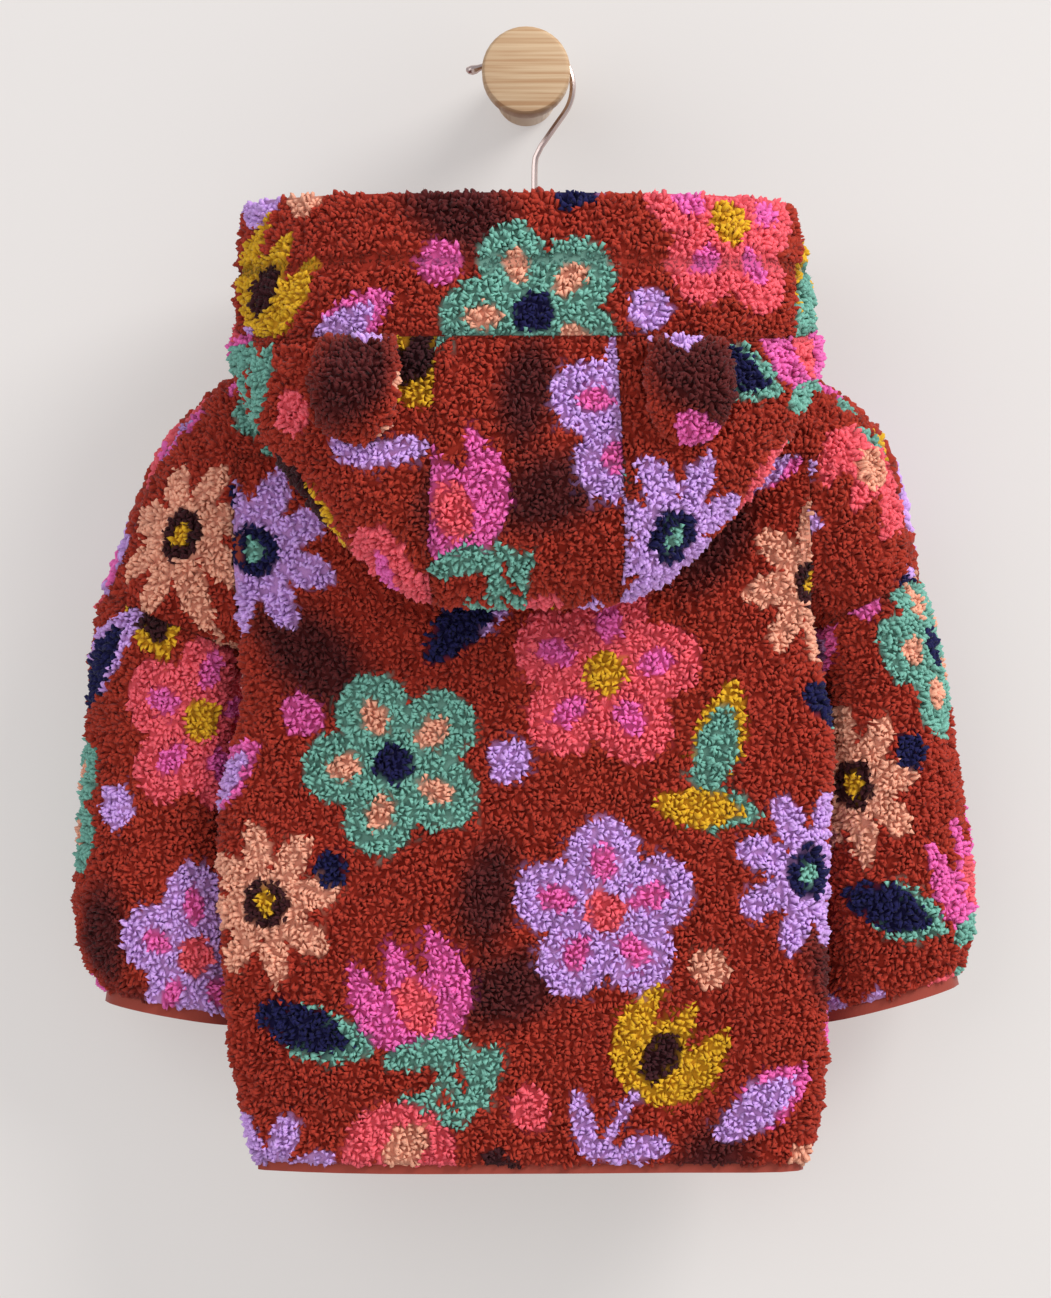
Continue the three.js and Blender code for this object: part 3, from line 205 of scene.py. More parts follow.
class PrintSettings(bpy.types.PropertyGroup):
    """All-over flower print."""

    width: length_setting("Tile width", "Width of the print's repeat", 0.300)
    height: length_setting("Tile height", "Height of the print's repeat", 0.340)
    fuzz: length_setting("Fuzz", "How far the colours stray over a motif's edge", 0.0005)
    ground: colour_setting("Ground", "Colour behind the flowers", "A63829")
    coral: colour_setting("Coral", "Print colour", "EE6470")
    pink: colour_setting("Pink", "Print colour", "EC6CB6")
    lilac: colour_setting("Lilac", "Print colour", "D2A8EC")
    teal: colour_setting("Teal", "Print colour", "78B4A4")
    peach: colour_setting("Peach", "Print colour", "EEAC90")
    navy: colour_setting("Navy", "Print colour", "20204C")
    mustard: colour_setting("Mustard", "Print colour", "DCAC2A")
    brown: colour_setting("Brown", "Print colour", "3E1E22")


class TrimSettings(bpy.types.PropertyGroup):
    """Bindings and zip."""

    binding: colour_setting("Binding", "Colour of the jersey at hem and cuffs", "943828")
    lining: colour_setting("Backing", "Colour of the cloth's smooth back", "86382C")
    tape: colour_setting("Zip tape", "Colour of the zip's tape", "7E3026")
    metal: colour_setting("Zip metal", "Colour of the zip's teeth, slider and tab", "B9A9A2")
    tooth: length_setting("Tooth pitch", "Distance between two teeth on one side", 0.0028)


class HangerSettings(bpy.types.PropertyGroup):
    """Hanger and peg."""

    wood: colour_setting("Wood", "Pale wood of the peg and the hanger", "CDB08C")
    grain: colour_setting("Grain", "Colour of the grain lines", "B48C64")
    wire: colour_setting("Wire", "Colour of the hook", "CBB8B2")


class StageSettings(bpy.types.PropertyGroup):
    """Studio, lights and camera."""

    wall: colour_setting("Wall", "Colour of the wall and the floor", "E8E4E1")
    paint: bpy.props.FloatProperty(
        name="Paint", description="Share of the lights that the wall gives back", default=0.47
    )
    glow: bpy.props.FloatProperty(
        name="Wall light", description="Light of the wall's own lamps", default=0.47
    )
    key: bpy.props.FloatProperty(
        name="Key light", description="Power", default=120.0, unit="POWER"
    )
    fill: bpy.props.FloatProperty(
        name="Fill light", description="Power", default=20.0, unit="POWER"
    )
    distance: length_setting("Camera distance", "From the camera to the hanger's plane", 1.8)
    field: length_setting("Field height", "Height of the view at the hanger's plane", 0.7009)
    level: bpy.props.FloatProperty(
        name="Camera level", description="Height of the camera", default=-0.3094, unit="LENGTH"
    )


def settings(name):
    return getattr(bpy.context.scene, "fleece_jacket_" + name)


# Reading the frame

def solid_mesh(node):
    """Points and triangles of a node, with its split corners joined again."""
    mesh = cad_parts[node].data
    mesh.calc_loop_triangles()
    points = np.empty(len(mesh.vertices) * 3)
    mesh.vertices.foreach_get("co", points)
    points = points.reshape(-1, 3)
    faces = np.empty(len(mesh.loop_triangles) * 3, np.int64)
    mesh.loop_triangles.foreach_get("vertices", faces)
    _, first, place = np.unique(
        np.round(points * 1e6).astype(np.int64), axis=0, return_index=True, return_inverse=True
    )
    faces = place.reshape(-1)[faces].reshape(-1, 3)
    return points[first], faces[(faces[:, 0] != faces[:, 1]) & (faces[:, 1] != faces[:, 2])]


def face_vectors(points, faces):
    """Cross product of each triangle: its normal, twice its area long."""
    a, b, c = (points[faces[:, i]] for i in range(3))
    return np.cross(b - a, c - a)


def unit(vectors):
    return vectors / np.maximum(np.linalg.norm(vectors, axis=-1, keepdims=True), 1e-12)


def face_edges(face):
    """The three edges of a triangle, each as its lower and higher point."""
    pairs = ((face[0], face[1]), (face[1], face[2]), (face[2], face[0]))
    return [(min(a, b), max(a, b)) for a, b in pairs]


def face_tree(points, faces):
    polygons = [tuple(int(i) for i in face) for face in faces]
    return BVHTree.FromPolygons([tuple(p) for p in points], polygons)


def nearest_tree(places):
    tree = KDTree(len(places))
    for i, place in enumerate(places):
        tree.insert(Vector(place), i)
    tree.balance()
    return tree


def corner_normals(points, faces):
    """Normal of each point, from the triangles round it."""
    vectors = face_vectors(points, faces)
    normals = np.zeros_like(points)
    for i in range(3):
        np.add.at(normals, faces[:, i], vectors)
    return unit(normals)


def hollow_middle(panel, places):
    """Nearest place on the middle line of the hollow that a panel goes round."""
    x, y, z = places.T
    reach = np.clip(x, -BODY_REACH, BODY_REACH)
    body = np.stack([reach, np.full_like(x, HANGER_Y), np.minimum(z, BODY_TOP)], 1)
    if panel.group == "body":
        return body
    if panel.group == "hood":
        return np.stack([reach * HOOD_SHARE, np.full_like(x, HOOD_MIDDLE_Y), z], 1)
    if panel.group == "band":
        return np.stack([reach * HOOD_SHARE, np.clip(y, HOOD_MIDDLE_Y, HANGER_Y), z], 1)
    line = np.array(ARM_LINE)
    share = np.interp(-z, -line[:, 2], np.arange(len(line)))
    arm = np.stack([np.interp(share, np.arange(len(line)), line[:, i]) for i in range(3)], 1)
    arm[:, 0] *= np.sign(x)
    if panel.group == "arm":
        return arm
    return np.where(np.abs(x)[:, None] > ARM_START, arm, body)


def face_sides(panel, points, faces):
    """1 for each triangle of the outer face, -1 for the inner one and 0 for the cut edges."""
    if panel.group == "ear":
        return np.ones(len(faces), int)
    vectors = face_vectors(points, faces)
    normals = unit(vectors)
    middles = points[faces].mean(1)
    tree = face_tree(points, faces)
    skin = np.zeros(len(faces), bool)
    for i, (middle, normal) in enumerate(zip(middles, normals)):
        start = Vector(middle - normal * RAY_GAP)
        hit = tree.ray_cast(start, Vector(-normal), CLOTH_REACH)
        skin[i] = hit[0] is not None and hit[1].dot(Vector(normal)) < OPPOSITE
    group = np.arange(len(faces))

    def root(i):
        while group[i] != i:
            group[i] = group[group[i]]
            i = group[i]
        return i

    edges = {}
    for i, face in enumerate(faces):
        for edge in face_edges(face):
            edges.setdefault(edge, []).append(i)
    for pair in edges.values():
        if len(pair) == 2 and skin[pair[0]] and skin[pair[1]]:
            if normals[pair[0]].dot(normals[pair[1]]) > SAME_PATCH:
                group[root(pair[0])] = root(pair[1])
    roots = np.array([root(i) for i in range(len(faces))])
    out = (vectors * (middles - hollow_middle(panel, middles))).sum(1)
    areas = np.linalg.norm(vectors, axis=1)
    whole = areas[skin].sum()
    sides = np.zeros(len(faces), int)
    for r in np.unique(roots[skin]):
        members = (roots == r) & skin
        if out[members].sum() > 0:
            sides[members] = 1
        elif areas[members].sum() > STRIP_SHARE * whole:
            sides[members] = -1
    return sides


def bare_edges(points, faces, sides):
    """The cut edges of a panel that no other piece covers."""
    normals = unit(face_vectors(points, faces))
    middles = points[faces].mean(1)
    tree = whole_tree()
    bare = np.zeros(len(faces), bool)
    for i in np.flatnonzero(sides == 0):
        start = Vector(middles[i] + normals[i] * RAY_GAP)
        bare[i] = tree.ray_cast(start, Vector(normals[i]), SEAM_REACH)[0] is None
    return bare


@lru_cache(maxsize=1)
def whole_tree():
    """Every node of the frame as one tree of faces, made once."""
    points, faces, count = [], [], 0
    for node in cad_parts:
        some, triangles = solid_mesh(node)
        points.append(some)
        faces.append(triangles + count)
        count += len(some)
    return face_tree(np.concatenate(points), np.concatenate(faces))


# Steps along the border between the places that the furrow beside a seam is measured from
BORDER_STEP = 0.002
# Share of a full curve that the smoothed face takes
ROUNDING = 0.75
# Trial places for each place kept, and cell of the second sieve in spacings
TRIALS = 5
SECOND_CELL = 0.86


class Skin:
    """Outer face of a panel, smoothed between its corners."""

    def __init__(self, points, faces, sides):
        self.points = points
        self.faces = faces[sides == 1]
        self.normals = corner_normals(points, self.faces)
        self.border = self.find_border()

    def find_border(self):
        uses = {}
        for face in self.faces:
            for edge in face_edges(face):
                uses[edge] = uses.get(edge, 0) + 1
        return [edge for edge, count in uses.items() if count == 1]

    def border_tree(self):
        places = []
        for a, b in self.border:
            start, end = self.points[a], self.points[b]
            steps = max(2, int(np.linalg.norm(end - start) / BORDER_STEP))
            places.extend(start + (end - start) * s for s in np.linspace(0, 1, steps))
        return nearest_tree(places)

    def smooth(self, triangle, weights):
        """Places and normals on the smoothed face, from triangles and shares of their corners."""
        corners = self.points[self.faces[triangle]]
        normals = self.normals[self.faces[triangle]]
        flat = (corners * weights[:, :, None]).sum(1)
        lift = ((flat[:, None] - corners) * normals).sum(2)
        drawn = flat[:, None] - normals * lift[:, :, None]
        curved = (drawn * weights[:, :, None]).sum(1)
        return flat + (curved - flat) * ROUNDING, unit((normals * weights[:, :, None]).sum(1))

    def scatter(self, spacing, rng, even=0.6):
        """Places all over the face, about that far apart, in even rows at 1 and loose at 0."""
        areas = np.linalg.norm(face_vectors(self.points, self.faces), axis=1) / 2
        count = int(areas.sum() / spacing**2 * TRIALS)
        triangle = rng.choice(len(self.faces), count, p=areas / areas.sum())
        weights = rng.random((count, 2))
        over = weights.sum(1) > 1
        weights[over] = 1 - weights[over]
        weights = np.column_stack([1 - weights.sum(1), weights])
        places, normals = self.smooth(triangle, weights)
        for shift, cell in ((0.0, spacing), (0.5, spacing * SECOND_CELL)):
            grid = places / cell + shift
            cells = np.floor(grid).astype(np.int64)
            off = ((grid - cells - 0.5) ** 2).sum(1) * even + rng.random(len(grid)) * (1 - even)
            order = np.lexsort((off, cells[:, 2], cells[:, 1], cells[:, 0]))
            keep = np.ones(len(order), bool)
            keep[1:] = (np.diff(cells[order], axis=0) != 0).any(1)
            chosen = np.sort(order[keep])
            places, normals = places[chosen], normals[chosen]
        return places, normals


# The print

def waves(places, length, seed, count=7):
    """A smooth random value from about -1 to 1 with a given wavelength, in metres."""
    rng = np.random.default_rng(seed)
    ways = unit(rng.normal(size=(count, 3))) * rng.uniform(0.7, 1.4, (count, 1))
    phases = rng.uniform(0, 2 * math.pi, count)
    return np.sin(places @ ways.T * (2 * math.pi / length) + phases).sum(1) / math.sqrt(count)


def flat_places(panel, places):
    """Places on the flat cloth in mm, across and up, of places on a panel."""
    x, y, z = places.T * 1000
    if panel.group == "arm":
        middle = hollow_middle(panel, places) * 1000
        turn = np.arctan2(x - middle[:, 0], middle[:, 1] - y)
        across, up = 42 * turn, z
    else:
        away = np.abs(y - panel.wrap)
        across = x + np.sign(x) * 0.55 * away
        up = z + (0.7 * away if panel.group == "yoke" else 0)
    return across + panel.offset[0], up + panel.offset[1]


def petals(a, b, count, reach, long, wide):
    """Inside a ring of rounded petals, in units of the motif's size."""
    step = 2 * math.pi / count
    turn = np.mod(np.arctan2(b, a) + step / 2, step) - step / 2
    radius = np.hypot(a, b)
    along, off = radius * np.cos(turn), radius * np.sin(turn)
    return ((along - reach) / long) ** 2 + (off / wide) ** 2 < 1


def inside_motif(kind, across, up, size, part):
    """Where places in a motif's own frame are inside one of its colours."""
    a, b = across / size, up / size
    radius = np.hypot(a, b)
    if kind == "dot":
        return radius < 1
    if kind == "blossom":
        if part == 0:
            return petals(a, b, 5, 0.58, 0.42, 0.39) | (radius < 0.4)
        return petals(a, b, 5, 0.52, 0.20, 0.13) if part == 1 else radius < 0.22
    if kind == "daisy":
        if part == 0:
            return petals(a, b, 8, 0.62, 0.38, 0.20) | (radius < 0.4)
        return radius < (0.30 if part == 1 else 0.14)
    if kind == "leaf":
        edge = 0.42 * (1 - a * a) - np.abs(b - 0.12 * a)
        return (np.abs(a) < 1) & ((edge > 0) if part == 0 else (edge > 0.30 - 0.2 * (1 - a)))
    return inside_tulip(a, b, part)


def inside_tulip(a, b, part):
    """Three-pointed cup, the mark in it, and a stem with a leaf on each side."""
    if part == 0:
        top = 0.62 + 0.26 * np.cos(2 * math.pi * a / 0.52) - 0.10 * np.abs(a)
        cup = (a / 0.74) ** 2 + ((b - 0.16) / 0.72) ** 2 < 1
        return (cup & (b < 0.2)) | ((np.abs(a) < 0.74) & (b >= 0.2) & (b < top))
    if part == 1:
        return (a / 0.24) ** 2 + ((b - 0.02) / 0.36) ** 2 < 1
    stem = (np.abs(a) < 0.08) & (b < -0.5) & (b > -1.55)
    along, off = (a - 0.40) * 0.7 + (b + 1.10) * 0.7, (b + 1.10) * 0.7 - (a - 0.40) * 0.7
    leaf = (along / 0.46) ** 2 + (off / 0.17) ** 2 < 1
    along, off = (-a - 0.36) * 0.7 + (b + 1.22) * 0.7, (b + 1.22) * 0.7 + (a + 0.36) * 0.7
    other = (along / 0.42) ** 2 + (off / 0.15) ** 2 < 1
    return stem | leaf | other


def print_colours(panel, places, rng):
    """Colour of the print at each place of a panel."""
    look = settings("print")
    palette = {name: np.array(getattr(look, name)[:3]) for name in PRINT_COLOURS}
    across, up = flat_places(panel, places)
    across = across + rng.normal(0, look.fuzz * 1000, len(across))
    up = up + rng.normal(0, look.fuzz * 1000, len(up))
    width, height = look.width * 1000, look.height * 1000
    column = np.floor(across / width)
    across = across - column * width
    up = np.mod(up + (column % 2) * height / 2, height)
    colours = np.tile(palette["ground"], (len(places), 1))
    for kind, place_x, place_y, size, turn, names in MOTIFS:
        cos, sin = math.cos(math.radians(turn)), math.sin(math.radians(turn))
        for i in (-1, 0, 1):
            for j in (-2, -1, 0, 1, 2):
                dx = across - place_x - i * width
                dy = up - place_y - j * height - (i % 2) * height / 2
                near = np.hypot(dx, dy) < size * MOTIF_REACH
                if not near.any():
                    continue
                a, b = dx[near] * cos + dy[near] * sin, dy[near] * cos - dx[near] * sin
                if kind == "shade":
                    far = (a / size) ** 2 + (b / (size * 0.55)) ** 2
                    mix = 0.85 * np.clip(1.25 - far, 0, 1)[:, None]
                    colours[near] = colours[near] * (1 - mix) + palette[names[0]] * mix
                    continue
                found = colours[near]
                for part, name in enumerate(names):
                    found[inside_motif(kind, a, b, size, part)] = palette[name]
                colours[near] = found
    return colours


# Building meshes

def make_object(name, points, faces, colours=None, smooth=True):
    """A mesh object from arrays, with a colour for each point."""
    mesh = bpy.data.meshes.new(name)
    mesh.vertices.add(len(points))
    mesh.vertices.foreach_set("co", np.asarray(points, np.float32).ravel())
    size = faces.shape[1]
    mesh.loops.add(faces.size)
    mesh.loops.foreach_set("vertex_index", faces.astype(np.int32).ravel())
    mesh.polygons.add(len(faces))
    mesh.polygons.foreach_set("loop_start", np.arange(0, faces.size, size, dtype=np.int32))
    mesh.update(calc_edges=True)
    if smooth:
        mesh.shade_smooth()
    if colours is not None:
        # The "print" colour holds the print with painted shade at lock roots, on the backing and
        # beside seams, and painted light at lock tips
        layer = mesh.color_attributes.new("print", "FLOAT_COLOR", "POINT")
        rgba = np.column_stack([colours, np.ones(len(colours))]).astype(np.float32)
        layer.data.foreach_set("color", rgba.ravel())
    mesh.validate()
    made = bpy.data.objects.new(name, mesh)
    bpy.context.scene.collection.objects.link(made)
    return made


def finer(points, faces, sides):
    """Each triangle in four, with the outer and inner faces smoothed."""
    edges = np.sort(faces[:, [0, 1, 1, 2, 2, 0]].reshape(-1, 2), axis=1)
    unique, place = np.unique(edges, axis=0, return_inverse=True)
    place = place.reshape(-1, 3)
    middles = (points[unique[:, 0]] + points[unique[:, 1]]) / 2
    for s in (1, -1):
        if not (sides == s).any():
            continue
        normal = corner_normals(points, faces[sides == s])
        used = np.unique(place[sides == s])
        border = np.bincount(place[sides != s].ravel(), minlength=len(unique)) > 0
        used = used[~border[used]]
        a, b = unique[used, 0], unique[used, 1]
        flat = middles[used]
        for end in (a, b):
            lift = ((flat - points[end]) * normal[end]).sum(1)
            middles[used] -= normal[end] * (lift * ROUNDING / 2)[:, None]
    ids = place + len(points)
    a, b, c = faces.T
    ab, bc, ca = ids.T
    split = np.concatenate([
        np.stack([a, ab, ca], 1), np.stack([ab, b, bc], 1),
        np.stack([ca, bc, c], 1), np.stack([ab, bc, ca], 1),
    ])
    return np.concatenate([points, middles]), split, np.tile(sides, 4)


# Most of the cloth's own thickness that the pile takes
THIN_SHARE = 0.7
# A face that shrinks under this share as it moves in is folded, and its points are held back
FOLDED_SHARE = 0.15
HOLD_ROUNDS = 5
# Points that move in by less than this share of the pile's depth count as held back
HELD_SHARE = 0.9


def backing_points(points, faces, outer, depth):
    """Points with the outer faces moved in by the pile's depth, and the ones held back.

    A point is held back where the cloth is thin or bends sharply.
    """
    normals = corner_normals(points, outer)
    tree = face_tree(points, faces)
    before = face_vectors(points, outer)
    room = np.ones(len(points))
    for corners, middle, way in zip(outer, points[outer].mean(1), unit(before)):
        found = tree.ray_cast(Vector(middle - way * RAY_GAP), Vector(-way), depth * 2)[3]
        if found is not None:
            room[corners] = np.minimum(room[corners], found * THIN_SHARE / depth)
    share = np.zeros(len(points))
    share[np.unique(outer)] = room[np.unique(outer)]
    for _ in range(HOLD_ROUNDS):
        moved = points - normals * (depth * share)[:, None]
        kept = (face_vectors(moved, outer) * before).sum(1)
        folded = kept < FOLDED_SHARE * (before ** 2).sum(1)
        share[np.unique(outer[folded])] *= 0.5
    moved = points - normals * (depth * share)[:, None]
    return moved, points[(share > 0) & (share < HELD_SHARE)]


# Rings of a lock: how far up it they are, their widths, and how much longer it is than wide
LOCK_SIDES = 3
LOCK_SHARES = (0.12, 0.80)
LOCK_WIDTHS = (1.12, 0.84)
LOCK_STRETCH = 1.4


def lock_mesh(places, normals, leans, turns, lengths, widths, lean):
    """Curls of wool: one bent, three-sided dome at each place, longer the way that it lies."""
    across = np.cross(normals, leans)
    rings = []
    shades = []
    for share, width in zip(LOCK_SHARES, LOCK_WIDTHS):
        middle = places + normals * (lengths * share)[:, None]
        middle = middle + leans * (lengths * lean * share * share)[:, None]
        for k in range(LOCK_SIDES):
            angle = k * 2 * math.pi / LOCK_SIDES + turns
            out, ahead = np.cos(angle), np.sin(angle)
            bent = out + 0.35 * turns * ahead * ahead
            place = middle + across * (widths * width * bent)[:, None]
            rings.append(place + leans * (widths * width * LOCK_STRETCH * ahead)[:, None])
            shades.append(np.full(len(places), share))
    tip = places + normals * (lengths * 1.02)[:, None] + leans * (lengths * lean * 0.8)[:, None]
    rings.append(tip + across * (widths * 0.15 * turns)[:, None])
    shades.append(np.ones(len(places)))
    size = len(rings)
    pattern = []
    for k in range(LOCK_SIDES):
        a, b = k, (k + 1) % LOCK_SIDES
        pattern += [(a, b, b + LOCK_SIDES), (a, b + LOCK_SIDES, a + LOCK_SIDES)]
        pattern.append((a + LOCK_SIDES, b + LOCK_SIDES, size - 1))
    points = np.stack(rings, 1).reshape(-1, 3)
    shades = np.stack(shades, 1).reshape(-1)
    return points, repeated(pattern, len(places), size), shades, size


def repeated(pattern, count, size):
    """Triangles of one small form repeated, each copy with its own points."""
    return (np.array(pattern)[None] + (np.arange(count) * size)[:, None, None]).reshape(-1, 3)


FIBRE_POINTS = 4
# Every lock of this many has a stray fibre, this share of a lock's width thick
FIBRE_EVERY = 6
FIBRE_THIN = 0.16


def clump_pull(skin, places, size, rng):
    """From each place to the middle of the clump of curls that it belongs to."""
    middles, _ = skin.scatter(size, rng, even=0.0)
    tree = nearest_tree(middles)
    return np.array([tree.find(Vector(place))[0] for place in places]) - places


def fibre_mesh(places, normals, leans, lengths, width):
    """Stray fibres over the curls: one thin three-sided spike at each place."""
    across = np.cross(normals, leans)
    points = [places + across * width, places - across * width, places + leans * width]
    points.append(places + normals * lengths[:, None] + leans * (lengths * 0.7)[:, None])
    points = np.stack(points, 1).reshape(-1, 3)
    return points, repeated([(0, 1, 3), (1, 2, 3), (2, 0, 3)], len(places), FIBRE_POINTS)


# Line stitched round the hood's band: its level by depth, its waver, and the pile beside it,
# whose least share there also sets the painted shade along the line
STITCH_DEPTHS = [-0.1, -0.04]
STITCH_LEVELS = [-0.1115, -0.119]
STITCH_WAVER = 0.0012
STITCH_REACH = 0.0046
STITCH_FLOOR = 0.15


def furrow(panel, places):
    """Share of the pile's length along the line stitched round the hood's band."""
    if panel.group != "band":
        return np.ones(len(places))
    x, y, z = places.T
    line = np.interp(y, STITCH_DEPTHS, STITCH_LEVELS) + STITCH_WAVER * np.sin(x * 60)
    rise = np.clip(np.abs(z - line) / STITCH_REACH, 0, 1) ** 1.4
    return STITCH_FLOOR + (1 - STITCH_FLOOR) * rise


def fleece_material():
    """Matt wool in the colours that each piece carries."""
    made = plain_material("curled_fleece", (1, 1, 1, 1), 0.95)
    nodes, links = made.node_tree.nodes, made.node_tree.links
    shader = nodes["Principled BSDF"]
    shader.inputs["Sheen Weight"].default_value = 0.10
    shader.inputs["Sheen Roughness"].default_value = 0.5
    shader.inputs["Specular IOR Level"].default_value = 0.05
    print_layer = nodes.new("ShaderNodeAttribute")
    # The "print" colour carries the print together with its painted shade and painted light
    print_layer.attribute_name = "print"
    links.new(print_layer.outputs["Color"], shader.inputs["Base Color"])
    add_bump(made, 1400, 0.5, 0.0006)
    return made


def plain_material(name, colour, roughness, metal=0.0):
    """A new material of one finish, in place of an old one of its name."""
    found = bpy.data.materials.get(name)
    if found:
        bpy.data.materials.remove(found)
    made = bpy.data.materials.new(name)
    made.use_nodes = True
    shader = made.node_tree.nodes["Principled BSDF"]
    shader.inputs["Base Color"].default_value = colour
    shader.inputs["Roughness"].default_value = roughness
    shader.inputs["Metallic"].default_value = metal
    return made


def add_bump(material, scale, strength, distance, stretch=(1, 1, 1)):
    """Fine noise on a material's surface."""
    nodes, links = material.node_tree.nodes, material.node_tree.links
    place = nodes.new("ShaderNodeTexCoord")
    mapping = nodes.new("ShaderNodeMapping")
    mapping.inputs["Scale"].default_value = stretch
    noise = nodes.new("ShaderNodeTexNoise")
    noise.inputs["Scale"].default_value = scale
    noise.inputs["Detail"].default_value = 3
    bump = nodes.new("ShaderNodeBump")
    bump.inputs["Strength"].default_value = strength
    bump.inputs["Distance"].default_value = distance
    links.new(place.outputs["Object"], mapping.inputs["Vector"])
    links.new(mapping.outputs["Vector"], noise.inputs["Vector"])
    links.new(noise.outputs["Fac"], bump.inputs["Height"])
    links.new(bump.outputs["Normal"], nodes["Principled BSDF"].inputs["Normal"])


def material_once(name, maker):
    return bpy.data.materials.get(name) or maker()


def clear_old(*names):
    for name in names:
        old = bpy.data.objects.get(name)
        if old:
            bpy.data.objects.remove(old)


# Colour factor of a lock at its root and of the backing under it, a painted shade of the crevices
# between locks, and at its tip, a painted light
ROOT_SHADE = np.array([0.74, 0.62, 0.62])
TIP_LIGHT = 1.08
# Shortest lock before seams shorten it, and how far its root goes into the backing
LEAST_LENGTH = 0.0018
ROOT_DEPTH = 0.0003
# Locks nearer than this to a sharp bend of the cloth keep their full length
BEND_REACH = 0.003
# Share of its length that a lock keeps right beside a seam, and the share of its colour left
# there by painted shade of the seam's furrow
SEAM_LENGTH = 0.55
SEAM_SHADE = 0.62
# How a clump shapes its locks: their turn and their move towards its middle, and its reach
CLUMP_TURN = 1.2
CLUMP_MOVE = 0.12
CLUMP_REACH = 0.55
# Slant from which the locks' directions are counted
LOCK_AXIS = np.array([0.31, 0.2, 0.93])


def fleece_cloth(panel, points, faces, sides, rng):
    """Backing of a piece, its outer face moved in under the pile, and its sharp bends."""
    for _ in range(1 if panel.hidden else 2):
        points, faces, sides = finer(points, faces, sides)
    outer = faces[sides == 1]
    backing, bends = backing_points(points, faces, outer, settings("fleece").depth)
    # The backing's outer face is the print darkened by painted shade of the crevices under the
    # locks
    shade = print_colours(panel, points, rng) * ROOT_SHADE
    inner = np.ones(len(points), bool)
    inner[np.unique(outer)] = False
    shade[inner] = np.array(settings("trim").lining[:3])
    return make_object(panel.node + "_cloth", backing, faces, shade), bends


def seam_shares(skin, places, reach):
    """0 at places beside a seam, up to 1 where they are out of the furrow's reach."""
    if not skin.border:
        return np.ones(len(places))
    tree = skin.border_tree()
    away = np.array([tree.find(Vector(place))[2] for place in places])
    return np.clip(away / reach, 0, 1)


def lock_leans(skin, places, normals, clump, rng):
    """The way that each lock lies, and its move to the middle of its clump."""
    flow = waves(places, 0.017, 3) * 2.6 + waves(places, 0.008, 5) * 1.0
    flow = flow + rng.normal(0, 0.5, len(places))
    side = unit(np.cross(normals, LOCK_AXIS))
    other = np.cross(side, normals)
    leans = side * np.cos(flow)[:, None] + other * np.sin(flow)[:, None]
    pull = clump_pull(skin, places, clump, rng)
    pull -= normals * (pull * normals).sum(1)[:, None]
    return unit(leans + pull / clump * CLUMP_TURN), pull


def pile_mesh(panel, skin, bends, rng):
    """Locks of a piece with their stray fibres: points, triangles and colours."""
    look = settings("fleece")
    spacing = look.hidden_spacing if panel.hidden else look.spacing
    places, normals = skin.scatter(spacing, rng)
    count = len(places)
    near = seam_shares(skin, places, look.seam)
    groove = furrow(panel, places)
    short = (SEAM_LENGTH + (1 - SEAM_LENGTH) * near) * groove
    if len(bends):
        bent = nearest_tree(bends)
        short[[bent.find(Vector(place))[2] < BEND_REACH for place in places]] = 1.0
    leans, pull = lock_leans(skin, places, normals, look.clump, rng)
    apart = np.clip(np.linalg.norm(pull, axis=1) / (look.clump * CLUMP_REACH), 0, 1.2)
    places = places + pull * CLUMP_MOVE
    rise = 0.5 + 0.9 * rng.random(count) + 0.8 * waves(places, 0.010, 8)
    lengths = np.maximum(look.depth + look.proud * rise, LEAST_LENGTH)
    lengths = lengths * short * (1.05 - 0.22 * apart ** 2)
    roots = places - normals * (look.depth + ROOT_DEPTH)
    grown = spacing / look.spacing
    widths = look.width * rng.uniform(0.8, 1.2, count) * grown * (0.7 + 0.3 * short)
    turns = rng.choice([-1.0, 1.0], count) * rng.uniform(0.4, 1.2, count)
    colours = print_colours(panel, places, rng)
    uneven = 0.06 * rng.normal(size=(count, 1)) + 0.04 * waves(places, 0.03, 4)[:, None]
    # Painted shade darkens the locks in the furrows beside seams and along the stitched line of
    # the hood's band
    painted_furrow_shade = (SEAM_SHADE + (1 - SEAM_SHADE) * near) * (STITCH_FLOOR + (1 - STITCH_FLOOR) * groove)
    colours = colours * (1 + uneven) * painted_furrow_shade[:, None]
    points, faces, shares, size = lock_mesh(
        roots, normals, leans, turns, lengths, widths, look.lean
    )
    # Painted shade at each lock's root, rising to painted light at its tip
    root_to_tip_light = ROOT_SHADE + (TIP_LIGHT - ROOT_SHADE) * (shares ** 0.7)[:, None]
    shades = np.repeat(colours, size, axis=0) * root_to_tip_light
    if not panel.hidden:
        some = np.arange(0, count, FIBRE_EVERY)
        tips = roots + normals * (lengths * 0.85)[:, None] + leans * (widths * 0.8)[:, None]
        reach = look.fibre * rng.uniform(0.4, 1.1, count) * short
        ways = unit(leans + rng.normal(0, 0.8, (count, 3)))
        thin = look.width * FIBRE_THIN
        fibres, fibre_faces = fibre_mesh(tips[some], normals[some], ways[some], reach[some], thin)
        faces = np.concatenate([faces, fibre_faces + len(points)])
        points = np.concatenate([points, fibres])
        # Stray fibres take the painted light of the lock tips
        fibre_shades = np.repeat(colours[some], FIBRE_POINTS, axis=0) * TIP_LIGHT
        shades = np.concatenate([shades, fibre_shades])
    return points, faces, np.clip(shades, 0, 1)


